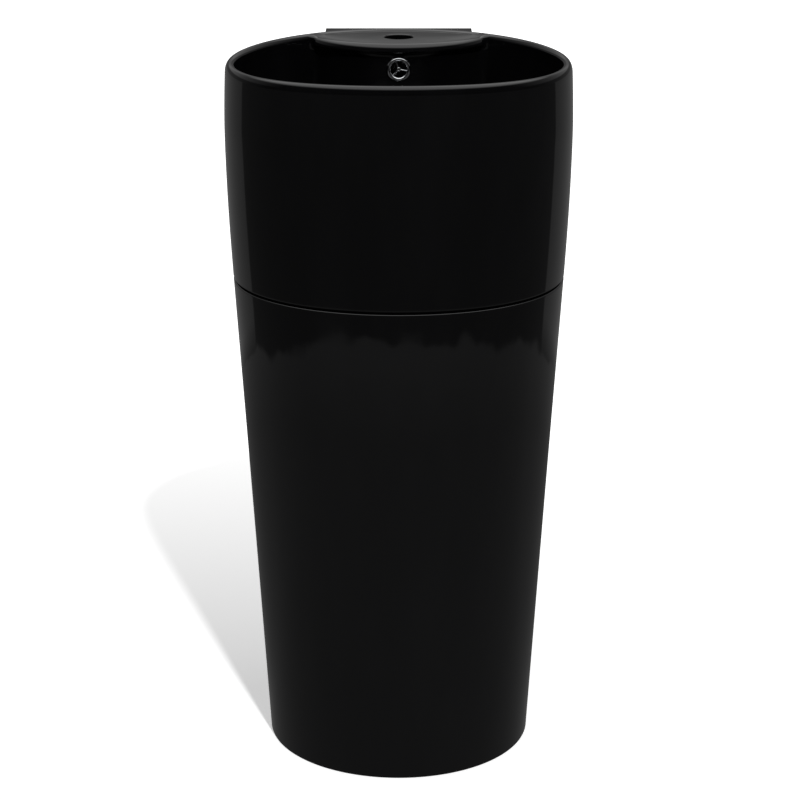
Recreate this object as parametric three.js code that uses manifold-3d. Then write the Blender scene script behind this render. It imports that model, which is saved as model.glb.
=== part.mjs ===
// Pedestal sink: a glazed ceramic basin on a ceramic column, with its waste and bottle trap.
// Millimetres, +Z up, the front faces -Y. The origin is on the floor under the middle of the sink.
import * as THREE from 'three';
import { mergeVertices } from 'three/addons/utils/BufferGeometryUtils.js';
import Module from 'manifold-3d';

const wasm = await Module();
wasm.setup();

// ---- driving dimensions -------------------------------------------------------------------------
const HEIGHT = 850;              // floor to the top of the rolled rim
const WALL_Y = 195;              // plane of the wall that the back plate stands against
const GAP = 0.3;                 // clearance between pieces that touch
const AROUND = 64;               // facets around the basin and the column

// Each side of the ceramic rises in a straight flare, rolls into a shoulder and leans in at the top:
// its distance from the middle at the floor, its growth per millimetre and its shoulder's distance.
const SIDE = { foot: 161.3, flare: 0.06, shoulder: 202.7 };
const FRONT = { foot: 163.6, flare: 0.0412, shoulder: 197.9 };
const BACK = { foot: 157, flare: 0.05, shoulder: 197 };
const SHOULDER_BLEND = 2.5;      // softness of the roll
const SHOULDER_Z = 745;          // above this the walls lean in
const LEAN = 1.6;                // how far they have leaned in at one LEAN_HEIGHT above it
const LEAN_HEIGHT = 80;
const BLUNT_FRONT = 22;          // how far the front is squared off from an ellipse at the rim
const BLUNT_BACK = 8;            // and how far the back is drawn out
const BLUNT_FULL_Z = 780;        // the plan is round at the floor and fully blunt from here up
const BLUNT_POWER = 3.5;
const CORE = 0.9;                // inside this share of the radius the plan turns elliptical

const SEAT_Z = 590.3;            // top of the column
const BASIN_Z = 592.6;           // bottom edge of the basin
const WALL = 12;                 // thickness of the basin's wall
const COLUMN_WALL = 13;
const EDGE = 2;                  // rounding of the two edges at the joint
const RIM_OUTER = { width: 5.5, height: 12 };   // outer rounding of the rim
const RIM_INNER = { width: 4.5, height: 6 };    // inner rounding of the rim

const PLATE_HALF = 90;           // half width of the flat back plate
const PLATE_TOP = 849.5;
const PLATE_WALL = 12;
const PLATE_ROOT_Y = 120;        // how far in front the plate's block begins

const DECK_Z = 848;              // top of the tap deck
const DECK_UNDER_Z = 834;
const DECK_AXIS_Y = 222;         // centre of the deck's bowed front
const DECK_WALL_RADIUS = 126.4;  // the wall under the lip
const DECK_LIP_RADIUS = 131.4;   // the lip
const DECK_WALL = 10;
const TAP_HOLE_RADIUS = 17.5;
const TAP_HOLE_Y = 140;

const DRAIN_Y = -16;             // axis of the waste
const DRAIN_RADIUS = 23;
const BOWL_Z = 703;              // lowest place of the bowl
const FLANGE_SEAT_Z = 700;
const FLANGE_SEAT_RADIUS = 34;
const BOSS_RADIUS = 36;
const BOSS_Z = 672;              // underside of the drain boss

const OVERFLOW_Z = 816.5;        // centre of the overflow opening
const OVERFLOW_RADIUS = 12.6;
const OVERFLOW_BARS = [18, 138, 258];   // degrees from upright, turning to the left
const DUCT_HALF = 20;            // half width of the overflow duct
const RIB_HALF = 29;             // half width of the rib that holds it
const RIB_BACK_Y = 122;

const FIXING_X = 55;             // wall fixing holes
const FIXING_Z = 770;
const FIXING_RADIUS = 7;
const SLOT_HALF = 65;            // service opening at the back of the column
const SLOT_TOP = 560;
const LUG_X = 125;               // floor fixing lugs
const LUG_HOLE = 4;

const TRAVEL = 8;                // how far the plug sinks when it shuts
const COIL_RADIUS = 3.4;         // the click spring, to the middle of its wire
const WIRE_RADIUS = 0.5;
const COILS = 3;
const FLANGE_Z = 702.1;          // underside of the waste flange
const FLANGE_RADIUS = 31.5;
const FLANGE_THICK = 3;
const TAIL_RADIUS = 20.8;
const TAIL_BORE = 17.5;
const TAIL_Z = 640;              // lower end of the waste tail
const BRIDGE_Z = 664;            // underside of the bridge inside the tail
const BRIDGE_THICK = 6;
const CARTRIDGE_RADIUS = 8;
const CARTRIDGE_BORE = 4.6;
const CARTRIDGE_TOP = 694;
const STEM_RADIUS = 4;
const STEM_Z = 684;
const CAP_Z = FLANGE_Z + FLANGE_THICK + GAP + TRAVEL + 2;   // underside of the plug cap, raised
const CAP_RADIUS = 29;

const TUBE_RADIUS = 16;          // 32 mm waste pipe
const TUBE_BORE = 14.2;
const TUBE_END_Z = 428;
const BOTTLE_RADIUS = 31;
const BOTTLE_WALL = 2.4;
const BOTTLE_Z = 470;            // lower edge of the bottle
const BOTTLE_TOP = 545;
const NECK_RADIUS = 21;
const NECK_TOP = 560;
const OUTLET_Z = 505;            // height of the outlet pipe
const CUP_Z = 402;               // bottom of the trap cup
const PIPE_START_Y = 22;
const ROSETTE_RADIUS = 38;

// ---- finishes -----------------------------------------------------------------------------------
const finish = (color, roughness, metalness) =>
  new THREE.MeshStandardMaterial({ color, roughness, metalness });
const ceramic = finish(0x0b0b0d, 0.08, 0);
const chrome = finish(0xd9dbde, 0.08, 1);
const brass = finish(0xb08d4a, 0.3, 1);
const rubber = finish(0x151515, 0.8, 0);
const plastic = finish(0xe9e9e6, 0.4, 0);
const steel = finish(0xa8abb0, 0.3, 1);

// ---- solids and meshes --------------------------------------------------------------------------
const sink = new THREE.Group();

// A closed solid that can be cut, from a geometry with closed faces.
function solidOf(geometry) {
  const bare = geometry.clone();
  bare.deleteAttribute('normal');
  bare.deleteAttribute('uv');
  const merged = mergeVertices(bare, 1e-3);
  const corners = merged.index.array;
  const kept = [];
  for (let i = 0; i < corners.length; i += 3) {
    const [a, b, c] = corners.slice(i, i + 3);
    if (a !== b && b !== c && c !== a) kept.push(a, b, c);
  }
  return new wasm.Manifold(new wasm.Mesh({
    numProp: 3,
    vertProperties: new Float32Array(merged.attributes.position.array),
    triVerts: new Uint32Array(kept),
  }));
}

function addPiece(name, solid, material) {
  const cut = solid.getMesh();
  const geometry = new THREE.BufferGeometry();
  geometry.setAttribute('position', new THREE.BufferAttribute(cut.vertProperties, 3));
  geometry.setIndex(new THREE.BufferAttribute(cut.triVerts, 1));
  geometry.computeVertexNormals();
  const mesh = new THREE.Mesh(geometry, material);
  mesh.name = name;
  sink.add(mesh);
}

// A profile of [radius, height] points turned about an upright axis at (0, y).
function turnedShape(profile, facets = 32) {
  const points = profile.map(([radius, height]) => new THREE.Vector2(radius, height));
  return new THREE.LatheGeometry(points, facets).rotateX(Math.PI / 2);
}

const turned = (profile, y = DRAIN_Y, facets = 32) =>
  solidOf(turnedShape(profile, facets).translate(0, y, 0));

// The same, turned about the Y axis: the profile's heights run to -Y.
const turnedForward = (profile, facets) =>
  solidOf(turnedShape(profile, facets).rotateX(Math.PI / 2));

function ringProfile(inner, outer, low, high) {
  return [[inner, low], [outer, low], [outer, high], [inner, high], [inner, low]];
}

const ring = (inner, outer, low, high) => turned(ringProfile(inner, outer, low, high));

const rod = (radius, low, high, y = DRAIN_Y, facets = 32) =>
  turned([[0, low], [radius, low], [radius, high], [0, high]], y, facets);

function rodAlongY(radius, start, end, x, z, facets = 32) {
  const geometry = new THREE.CylinderGeometry(radius, radius, end - start, facets);
  return solidOf(geometry.translate(x, (start + end) / 2, z));
}

function box([x0, y0, z0], [x1, y1, z1]) {
  const geometry = new THREE.BoxGeometry(x1 - x0, y1 - y0, z1 - z0);
  return solidOf(geometry.translate((x0 + x1) / 2, (y0 + y1) / 2, (z0 + z1) / 2));
}

// A [y, z] outline drawn out sideways, half to each side of the middle plane.
function sideways(outline, half) {
  const shape = new THREE.Shape(outline.map(([y, z]) => new THREE.Vector2(y, z)));
  const geometry = new THREE.ExtrudeGeometry(shape, { depth: 2 * half, bevelEnabled: false });
  geometry.applyMatrix4(new THREE.Matrix4().makeBasis(
    new THREE.Vector3(0, 1, 0), new THREE.Vector3(0, 0, 1), new THREE.Vector3(1, 0, 0)));
  return solidOf(geometry.translate(-half, 0, 0));
}

// ---- the plan of the ceramic --------------------------------------------------------------------
function rolled(line, z) {
  const flare = line.foot + line.flare * z;
  const over = Math.log(1 + Math.exp((flare - line.shoulder) / SHOULDER_BLEND));
  const lean = Math.max(0, z - SHOULDER_Z) / LEAN_HEIGHT;
  return flare - SHOULDER_BLEND * over - LEAN * lean * lean;
}

const sideRadius = (z) => rolled(SIDE, z);

// Turned shapes become the ceramic's plan: round at the floor, blunt towards the user at the rim.
function toPlan(geometry) {
  const place = geometry.attributes.position;
  for (let i = 0; i < place.count; i += 1) {
    const [x, y, z] = [place.getX(i), place.getY(i), place.getZ(i)];
    const height = Math.min(Math.max(z, 0), HEIGHT);
    const radius = Math.hypot(x, y);
    const [side, front, back] = [SIDE, FRONT, BACK].map((line) => rolled(line, height));
    const blunt = Math.min(1, height / BLUNT_FULL_Z) ** BLUNT_POWER;
    const mean = blunt * (BLUNT_FRONT + BLUNT_BACK) / 2;
    const swing = blunt * (BLUNT_FRONT - BLUNT_BACK) / 2;
    const core = Math.min(1, radius / side / CORE) ** 2;
    const forward = radius ? -y / radius : 0;
    const middle = (back - front) / 2 - mean;
    const depth = ((back + front) / 2 + swing) / side;
    const bend = (mean + swing * forward) * (2 * forward * forward - 1);
    place.setXYZ(i, x, middle - radius * depth * forward + core * bend, z);
  }
  return geometry;
}

const planned = (profile) => solidOf(toPlan(turnedShape(profile, AROUND)));

function levels(from, to, steps) {
  return Array.from({ length: steps + 1 }, (_, i) => from + (to - from) * i / steps);
}

// Points of a quarter round, or part of one, for a profile.
function arcPoints([centreR, centreZ], { width, height }, from, to, steps = 4) {
  return levels(from, to, steps).map((degrees) => {
    const angle = THREE.MathUtils.degToRad(degrees);
    return [centreR + width * Math.cos(angle), centreZ + height * Math.sin(angle)];
  });
}

function smoothProfile(points, steps) {
  const curve = new THREE.SplineCurve(points.map(([r, z]) => new THREE.Vector2(r, z)));
  return curve.getPoints(steps).map((point) => [point.x, point.y]);
}

// ---- ceramic ------------------------------------------------------------------------------------
const rollZ = HEIGHT - RIM_OUTER.height;
const topRadius = sideRadius(rollZ);
const innerRadius = topRadius - WALL;
const jointEdge = { width: EDGE, height: EDGE };

function basinOutside() {
  const side = levels(BASIN_Z + EDGE + 6, rollZ - 14, 9).map((z) => [sideRadius(z), z]);
  const profile = [
    [0, BASIN_Z],
    ...arcPoints([sideRadius(BASIN_Z) - EDGE, BASIN_Z + EDGE], jointEdge, -90, 0, 2),
    ...side,
    ...arcPoints([topRadius - RIM_OUTER.width, rollZ], RIM_OUTER, 0, 90),
    [0, HEIGHT],
  ];
  return planned(profile)
    .add(box([-PLATE_HALF, PLATE_ROOT_Y, BASIN_Z], [PLATE_HALF, WALL_Y, PLATE_TOP]));
}

// The front wall and lip of the tap deck, bowed towards the user, with all that is behind it.
function deckBlock() {
  const lip = [
    [DECK_WALL_RADIUS, DECK_Z - 11], [DECK_LIP_RADIUS - 0.8, DECK_Z - 7],
    [DECK_LIP_RADIUS, DECK_Z - 4.5], [DECK_LIP_RADIUS - 1.4, DECK_Z - 1.4],
    [DECK_LIP_RADIUS - 4.5, DECK_Z],
  ];
  return turned([[0, BOSS_Z], [DECK_WALL_RADIUS, BOSS_Z], ...lip, [0, DECK_Z]], DECK_AXIS_Y, 80);
}

function bowl() {
  const floor = [[FLANGE_SEAT_RADIUS, BOWL_Z], [80, BOWL_Z + 4], [125, BOWL_Z + 13],
    [160, BOWL_Z + 30], [178, BOWL_Z + 57], [innerRadius - 2.5, BOWL_Z + 97],
    [innerRadius, HEIGHT - RIM_INNER.height]];
  const rollCentre = [innerRadius + RIM_INNER.width, HEIGHT - RIM_INNER.height];
  const roll = arcPoints(rollCentre, RIM_INNER, 180, 90, 3);
  const profile = [
    [0, BOWL_Z], ...smoothProfile(floor, 12), ...roll.slice(1),
    [rollCentre[0], HEIGHT + 10], [0, HEIGHT + 10],
  ];
  return planned(profile).subtract(deckBlock());
}

// The open underside: between the skirt and the bowl, and up behind the bowl under the deck.
function underside() {
  const inset = (z) => [sideRadius(z) - WALL, z];
  const skirt = [inset(BASIN_Z - 1), inset(BASIN_Z + 60), inset(BASIN_Z + 110), inset(BOWL_Z + 35)];
  const bowlBack = [[180, BOWL_Z + 38], [168, BOWL_Z + 24], [150, BOWL_Z + 13.5],
    [125, BOWL_Z + 2.5], [80, BOWL_Z - 6], [40, BOWL_Z - 10], [0, BOWL_Z - 10]];
  const plateX = PLATE_HALF - PLATE_WALL;
  const plateY = WALL_Y - PLATE_WALL;
  const behindPlate = box([-plateX, PLATE_ROOT_Y, BASIN_Z - 1], [plateX, plateY, DECK_UNDER_Z]);
  const inside = planned([[0, BASIN_Z - 1], ...levels(BASIN_Z - 1, DECK_UNDER_Z, 4).map(inset),
    [0, DECK_UNDER_Z]]).add(behindPlate);
  const column = rod(DECK_WALL_RADIUS - DECK_WALL, BASIN_Z - 1, DECK_UNDER_Z, DECK_AXIS_Y, 80);
  const keptWall = box([-plateX - 80, -WALL_Y, BASIN_Z - 2], [plateX + 80, plateY, HEIGHT]);
  return planned([[0, BASIN_Z - 1], ...skirt, ...bowlBack])
    .add(column.intersect(inside))
    .intersect(keptWall.add(box([-250, -250, BASIN_Z - 2], [250, plateY, HEIGHT])));
}

function overflowRib() {
  const outer = [[DRAIN_Y + 10, BOSS_Z], [110, BOSS_Z + 10], [RIB_BACK_Y, BOSS_Z + 22],
    [RIB_BACK_Y, DECK_Z - 8], [100, DECK_Z - 8], [100, BOWL_Z + 3], [DRAIN_Y + 10, BOWL_Z - 6]];
  return sideways(outer, RIB_HALF).add(rod(BOSS_RADIUS, BOSS_Z, BOWL_Z - 2));
}

function overflowDuct() {
  const front = DECK_AXIS_Y - DECK_WALL_RADIUS + DECK_WALL - 1;
  const back = RIB_BACK_Y - 8;
  const inner = [[DRAIN_Y + 18, BOSS_Z + 9], [back - 7, BOSS_Z + 18], [back, BOSS_Z + 26],
    [back, OVERFLOW_Z + 7], [front, OVERFLOW_Z + 7], [front, BOWL_Z + 9],
    [front - 6, BOWL_Z], [DRAIN_Y + 18, BOSS_Z + 20]];
  const opening = rodAlongY(OVERFLOW_RADIUS, front - 20, front + 2, 0, OVERFLOW_Z);
  return sideways(inner, DUCT_HALF).add(opening);
}

function basin() {
  const drain = rod(DRAIN_RADIUS, BOSS_Z - 5, BOWL_Z + 5)
    .add(rod(FLANGE_SEAT_RADIUS, FLANGE_SEAT_Z, BOWL_Z + 5));
  let solid = basinOutside().subtract(bowl()).subtract(underside());
  solid = solid.add(overflowRib()).subtract(overflowDuct()).subtract(drain);
  solid = solid.subtract(rod(TAP_HOLE_RADIUS, DECK_UNDER_Z - 30, HEIGHT + 5, TAP_HOLE_Y));
  for (const side of [-1, 1]) {
    const hole = rodAlongY(FIXING_RADIUS, WALL_Y - 30, WALL_Y + 5, side * FIXING_X, FIXING_Z, 24);
    solid = solid.subtract(hole);
  }
  return solid;
}

function pedestal() {
  const levelsUp = levels(0, SEAT_Z - EDGE, 5);
  const outside = planned([[0, 0], ...levelsUp.map((z) => [sideRadius(z), z]),
    ...arcPoints([sideRadius(SEAT_Z) - EDGE, SEAT_Z - EDGE], jointEdge, 0, 90, 2).slice(1),
    [0, SEAT_Z]])
    .add(box([-PLATE_HALF, PLATE_ROOT_Y, 0], [PLATE_HALF, WALL_Y, SEAT_Z]));
  const inside = planned([[0, -5], ...levels(-5, SEAT_Z + 5, 5)
    .map((z) => [sideRadius(z) - COLUMN_WALL, z]), [0, SEAT_Z + 5]]);
  const slot = box([-SLOT_HALF, 60, -5], [SLOT_HALF, WALL_Y + 5, SLOT_TOP]);
  let solid = outside.subtract(inside).subtract(slot);
  for (const side of [-1, 1]) {
    const [near, far] = [side * (LUG_X - 21), side * (LUG_X + 26)];
    const lug = box([Math.min(near, far), -20, 0], [Math.max(near, far), 20, 14]);
    const hole = turned([[0, -5], [LUG_HOLE, -5], [LUG_HOLE, 20], [0, 20]], 0, 20);
    solid = solid.add(lug).subtract(hole.translate(side * LUG_X, 0, 0));
  }
  return solid;
}

function seatGasket() {
  const [low, high] = [SEAT_Z + GAP, BASIN_Z - GAP];
  const radius = sideRadius(low);
  return planned(ringProfile(radius - 11, radius - 5, low, high));
}

// ---- overflow trim ------------------------------------------------------------------------------
const overflowFaceY = DECK_AXIS_Y - DECK_WALL_RADIUS;

// Profiles here are [radius, distance in front of the wall].
function overflowRing() {
  const profile = [
    [9.6, -8], [12.2, -8], [12.2, 1.2], [14.6, 1.2], [14.75, 2], [14, 3.4], [12.4, 4], [10.8, 3.6],
    [9.8, 2.4], [9.6, -8],
  ];
  let solid = turnedForward(profile, 36);
  for (const turn of OVERFLOW_BARS) {
    const bar = new THREE.BoxGeometry(10.4, 2.2, 1.9).translate(5.2, -1.2, 0);
    solid = solid.add(solidOf(bar.rotateY(-THREE.MathUtils.degToRad(turn + 90))));
  }
  const hub = turnedForward([[0, 0.1], [2.1, 0.1], [2.1, 2.3], [1.5, 2.8], [0, 2.8]], 20);
  return solid.add(hub).translate(0, overflowFaceY, OVERFLOW_Z);
}

function overflowSeal() {
  return turnedForward(ringProfile(12.5, 14.1, GAP, 0.9), 40)
    .translate(0, overflowFaceY, OVERFLOW_Z);
}

// ---- waste and click plug -----------------------------------------------------------------------
function wasteBody() {
  const top = FLANGE_Z + FLANGE_THICK;
  const profile = [
    [TAIL_BORE, TAIL_Z], [TAIL_RADIUS, TAIL_Z], [TAIL_RADIUS, FLANGE_Z], [FLANGE_RADIUS, FLANGE_Z],
    [FLANGE_RADIUS, FLANGE_Z + 1.4], [FLANGE_RADIUS - 1.2, top - 0.4], [FLANGE_RADIUS - 3, top],
    [TAIL_RADIUS + 2, top - 0.6], [TAIL_BORE + 1, top - 3], [TAIL_BORE, top - 7], [TAIL_BORE, TAIL_Z],
  ];
  let solid = turned(profile);
  const slotZ = BOSS_Z + 14;
  solid = solid.subtract(box([-30, DRAIN_Y - 6, slotZ - 5], [30, DRAIN_Y + 6, slotZ + 5]));
  solid = solid.subtract(box([-6, DRAIN_Y - 30, slotZ - 5], [6, DRAIN_Y + 30, slotZ + 5]));
  const arm = box([-TAIL_BORE - 1, -2, BRIDGE_Z], [TAIL_BORE + 1, 2, BRIDGE_Z + BRIDGE_THICK]);
  const cross = arm.add(arm.rotate([0, 0, 90])).translate(0, DRAIN_Y, 0);
  const hub = rod(9, BRIDGE_Z, BRIDGE_Z + BRIDGE_THICK);
  return solid.add(cross).add(hub).subtract(rod(5.3, BRIDGE_Z - 1, BRIDGE_Z + 8));
}

function plugCap() {
  return turned([[0, CAP_Z], [CAP_RADIUS - 2, CAP_Z], [CAP_RADIUS, CAP_Z + 1.6],
    [CAP_RADIUS - 0.6, CAP_Z + 3], [CAP_RADIUS - 5, CAP_Z + 4.6], [14, CAP_Z + 6.2], [0, CAP_Z + 6.8]],
  DRAIN_Y, 48);
}

function clickCartridge() {
  const low = BRIDGE_Z + BRIDGE_THICK + GAP;
  return turned([
    [0, BRIDGE_Z - 3], [5, BRIDGE_Z - 3], [5, low], [CARTRIDGE_RADIUS, low],
    [CARTRIDGE_RADIUS, CARTRIDGE_TOP - 1.5], [CARTRIDGE_RADIUS - 1.5, CARTRIDGE_TOP],
    [CARTRIDGE_BORE, CARTRIDGE_TOP], [CARTRIDGE_BORE, low + 2], [0, low + 2]]);
}

// A few open turns of round wire.
function cartridgeSpring() {
  const [low, high] = [BRIDGE_Z + BRIDGE_THICK + GAP + 2 + 0.9, STEM_Z - 0.9];
  class Helix extends THREE.Curve {
    getPoint(t, target = new THREE.Vector3()) {
      const angle = 2 * Math.PI * COILS * t;
      return target.set(COIL_RADIUS * Math.cos(angle), COIL_RADIUS * Math.sin(angle),
        low + (high - low) * t);
    }
  }
  const wire = new THREE.Shape().absarc(0, 0, WIRE_RADIUS, 0, 2 * Math.PI);
  const geometry = new THREE.ExtrudeGeometry(wire,
    { steps: 12 * COILS, curveSegments: 2, extrudePath: new Helix() });
  return solidOf(geometry.translate(0, DRAIN_Y, 0));
}

// The blank of a round nut, with ribs for the hand.
function ribbedNut(radius, low, high) {
  const shape = new THREE.Shape();
  const ribs = 16;
  for (let i = 0; i < 2 * ribs; i += 1) {
    const reach = i % 2 ? radius : radius - 1.3;
    const angle = Math.PI * i / ribs;
    const point = [reach * Math.cos(angle), reach * Math.sin(angle)];
    if (i) shape.lineTo(...point);
    else shape.moveTo(...point);
  }
  const geometry = new THREE.ExtrudeGeometry(shape, { depth: high - low, bevelEnabled: false });
  return solidOf(geometry.translate(0, 0, low));
}

const bored = (solid, radius, low, high) => solid.subtract(rod(radius, low, high, 0));

// ---- bottle trap --------------------------------------------------------------------------------
const inletShoulder = TAIL_Z - 10;

function trapInletNut() {
  let nut = ribbedNut(28, inletShoulder - 8, TAIL_Z + 12);
  nut = bored(nut, TUBE_RADIUS + GAP, inletShoulder - 20, TAIL_Z);
  return bored(nut, TAIL_RADIUS + GAP, inletShoulder - 4, TAIL_Z + 20).translate(0, DRAIN_Y, 0);
}

function trapInletTube() {
  const collar = inletShoulder - 4 + GAP;
  return turned([
    [TUBE_BORE, TUBE_END_Z], [TUBE_RADIUS, TUBE_END_Z], [TUBE_RADIUS, collar], [20.4, collar],
    [20.4, collar + 4], [TUBE_BORE, collar + 4], [TUBE_BORE, TUBE_END_Z]]);
}

function trapBody() {
  const thread = BOTTLE_RADIUS - 3;
  const outside = turned([
    [0, BOTTLE_Z - 18], [thread, BOTTLE_Z - 18], [thread, BOTTLE_Z], [BOTTLE_RADIUS, BOTTLE_Z],
    [BOTTLE_RADIUS, BOTTLE_TOP - 12], [BOTTLE_RADIUS - 3, BOTTLE_TOP - 4], [NECK_RADIUS, BOTTLE_TOP],
    [NECK_RADIUS, NECK_TOP], [0, NECK_TOP]]);
  const inside = turned([
    [0, BOTTLE_Z - 20], [thread - BOTTLE_WALL, BOTTLE_Z - 20], [thread - BOTTLE_WALL, BOTTLE_TOP - 12],
    [NECK_RADIUS - BOTTLE_WALL, BOTTLE_TOP - 4], [TUBE_RADIUS + 0.6, BOTTLE_TOP],
    [TUBE_RADIUS + 0.6, NECK_TOP + 1], [0, NECK_TOP + 1]]);
  const stub = rodAlongY(NECK_RADIUS, DRAIN_Y + 10, PIPE_START_Y + 4, 0, OUTLET_Z);
  const bore = rodAlongY(TUBE_RADIUS + 0.6, DRAIN_Y + 10, PIPE_START_Y + 6, 0, OUTLET_Z);
  return outside.add(stub).subtract(inside).subtract(bore);
}

function trapBodyNut() {
  let nut = ribbedNut(27, NECK_TOP - 10, NECK_TOP + 10);
  nut = bored(nut, TUBE_RADIUS + GAP, NECK_TOP - 20, NECK_TOP + 20);
  return bored(nut, NECK_RADIUS + GAP, NECK_TOP - 20, NECK_TOP + 5).translate(0, DRAIN_Y, 0);
}

function trapCup() {
  const cup = ribbedNut(BOTTLE_RADIUS + 3, BOTTLE_Z - 22, BOTTLE_Z - GAP - 1.5).translate(0, DRAIN_Y, 0);
  const bottle = turned([[0, CUP_Z], [20, CUP_Z], [26, CUP_Z + 3], [BOTTLE_RADIUS - 0.5, CUP_Z + 9],
    [BOTTLE_RADIUS, CUP_Z + 20], [BOTTLE_RADIUS, BOTTLE_Z - 20], [0, BOTTLE_Z - 20]]);
  const hollow = turned([[0, CUP_Z + 3], [19, CUP_Z + 3], [25, CUP_Z + 6], [BOTTLE_RADIUS - 2.7, CUP_Z + 14],
    [BOTTLE_RADIUS - 2.7, BOTTLE_Z + 2], [0, BOTTLE_Z + 2]]);
  return cup.add(bottle).subtract(hollow);
}

const alongY = (solid) => solid.rotate([-90, 0, 0]).translate(0, 0, OUTLET_Z);

function outletNut() {
  const start = PIPE_START_Y - 6;
  let nut = ribbedNut(27, start, start + 22);
  nut = bored(nut, TUBE_RADIUS + GAP, start - 1, start + 30);
  return alongY(bored(nut, NECK_RADIUS + GAP, start - 1, start + 16));
}

function outletRing(inner, outer, start, end) {
  const profile = ringProfile(inner, outer, start, end);
  return alongY(solidOf(turnedShape(profile)));
}

function wallRosette() {
  const inner = TUBE_RADIUS + GAP;
  const profile = [[inner, -12], [inner + 2.5, -12], [inner + 5, -6], [ROSETTE_RADIUS - 3, -2.5],
    [ROSETTE_RADIUS, 0], [inner, 0], [inner, -12]];
  return alongY(solidOf(turnedShape(profile).translate(0, 0, WALL_Y)));
}

// ---- the assembly -------------------------------------------------------------------------------
addPiece('basin', basin(), ceramic);
addPiece('pedestal', pedestal(), ceramic);
addPiece('seat_gasket', seatGasket(), rubber);
addPiece('overflow_ring', overflowRing(), chrome);
addPiece('overflow_seal', overflowSeal(), rubber);

const backnutTop = BOSS_Z - 6.9;
addPiece('waste_body', wasteBody(), chrome);
addPiece('flange_seal', ring(DRAIN_RADIUS + 1, FLANGE_RADIUS - 0.5, FLANGE_SEAT_Z + GAP, FLANGE_Z - GAP),
  rubber);
addPiece('plug_cap', plugCap(), chrome);
addPiece('plug_seal', ring(19, 25, CAP_Z - 2, CAP_Z - GAP), rubber);
addPiece('plug_stem', rod(STEM_RADIUS, STEM_Z, CAP_Z - GAP, DRAIN_Y, 24), steel);
addPiece('click_cartridge', clickCartridge(), brass);
addPiece('cartridge_spring', cartridgeSpring(), steel);
addPiece('lower_seal', ring(TAIL_RADIUS + GAP, BOSS_RADIUS - 2, BOSS_Z - 4.3, BOSS_Z - GAP), rubber);
addPiece('backnut_washer', ring(TAIL_RADIUS + GAP, BOSS_RADIUS - 2, backnutTop + GAP, BOSS_Z - 4.6),
  plastic);
addPiece('backnut', bored(ribbedNut(30, backnutTop - 9, backnutTop), TAIL_RADIUS + GAP, 0, HEIGHT)
  .translate(0, DRAIN_Y, 0), brass);
addPiece('trap_inlet_nut', trapInletNut(), chrome);
addPiece('trap_inlet_seal', ring(TUBE_BORE + 1, 20.4, inletShoulder + 0.6, TAIL_Z - GAP), rubber);
addPiece('trap_inlet_tube', trapInletTube(), chrome);
addPiece('trap_body', trapBody(), chrome);
addPiece('trap_body_nut', trapBodyNut(), chrome);
addPiece('trap_body_seal', ring(TUBE_RADIUS + GAP, NECK_RADIUS, NECK_TOP + GAP, NECK_TOP + 4.7), rubber);
addPiece('trap_cup', trapCup(), chrome);
addPiece('trap_cup_seal', ring(BOTTLE_RADIUS - 2.6, BOTTLE_RADIUS + 2, BOTTLE_Z - 1.5, BOTTLE_Z - GAP),
  rubber);
addPiece('outlet_nut', outletNut(), chrome);
addPiece('outlet_seal', outletRing(TUBE_RADIUS + GAP, NECK_RADIUS, PIPE_START_Y + 4 + GAP,
  PIPE_START_Y + 10 - GAP), rubber);
addPiece('outlet_pipe', outletRing(TUBE_BORE, TUBE_RADIUS, PIPE_START_Y - 8, WALL_Y), chrome);
addPiece('wall_rosette', wallRosette(), chrome);

export default sink;
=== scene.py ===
from math import cos, exp, log, pi, radians, sin, tau

import bmesh
import bpy
from bpy.props import FloatProperty, FloatVectorProperty, IntProperty, PointerProperty
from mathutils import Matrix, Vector


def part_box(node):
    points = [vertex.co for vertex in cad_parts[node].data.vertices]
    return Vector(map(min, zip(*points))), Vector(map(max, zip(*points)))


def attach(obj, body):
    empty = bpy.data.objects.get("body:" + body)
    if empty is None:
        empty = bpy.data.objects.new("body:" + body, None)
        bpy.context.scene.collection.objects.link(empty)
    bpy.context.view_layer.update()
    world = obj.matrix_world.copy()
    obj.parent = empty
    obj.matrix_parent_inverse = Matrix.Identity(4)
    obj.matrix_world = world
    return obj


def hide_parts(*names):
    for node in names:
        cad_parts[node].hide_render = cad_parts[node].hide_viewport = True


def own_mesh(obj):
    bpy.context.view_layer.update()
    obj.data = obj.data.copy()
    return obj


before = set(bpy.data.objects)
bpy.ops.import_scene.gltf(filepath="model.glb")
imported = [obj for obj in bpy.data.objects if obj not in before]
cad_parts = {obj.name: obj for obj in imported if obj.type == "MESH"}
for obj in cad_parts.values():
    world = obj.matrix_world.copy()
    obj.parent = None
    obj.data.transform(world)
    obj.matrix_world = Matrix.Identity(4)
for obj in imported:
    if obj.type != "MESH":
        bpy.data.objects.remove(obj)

bl_info = {
    "name": "Pedestal sink",
    "version": (1, 0, 0),
    "blender": (4, 5, 0),
    "location": "View3D > Sidebar > Sink",
    "description": "Builds a glazed pedestal sink with its overflow, click waste and bottle trap",
    "category": "Add Mesh",
}

# Lengths inside the modelling functions are millimetres, and become metres where a vertex is placed.
MM = 0.001


def node_span(node):
    """Lowest and highest corner of a node of the frame, in millimetres."""
    low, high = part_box(node)
    return Vector(low) / MM, Vector(high) / MM


def node_radius(node):
    low, high = node_span(node)
    return (high.x - low.x) / 2


def node_heights(node):
    low, high = node_span(node)
    return low.z, high.z


def node_reach(node):
    """Where a node begins and ends along Y."""
    low, high = node_span(node)
    return low.y, high.y


SINK_LOW, SINK_HIGH = node_span("basin")
PEDESTAL_TOP = node_span("pedestal")[1].z
RIM_Z = SINK_HIGH.z
WALL_Y = SINK_HIGH.y
JOINT_Z = SINK_LOW.z

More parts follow.
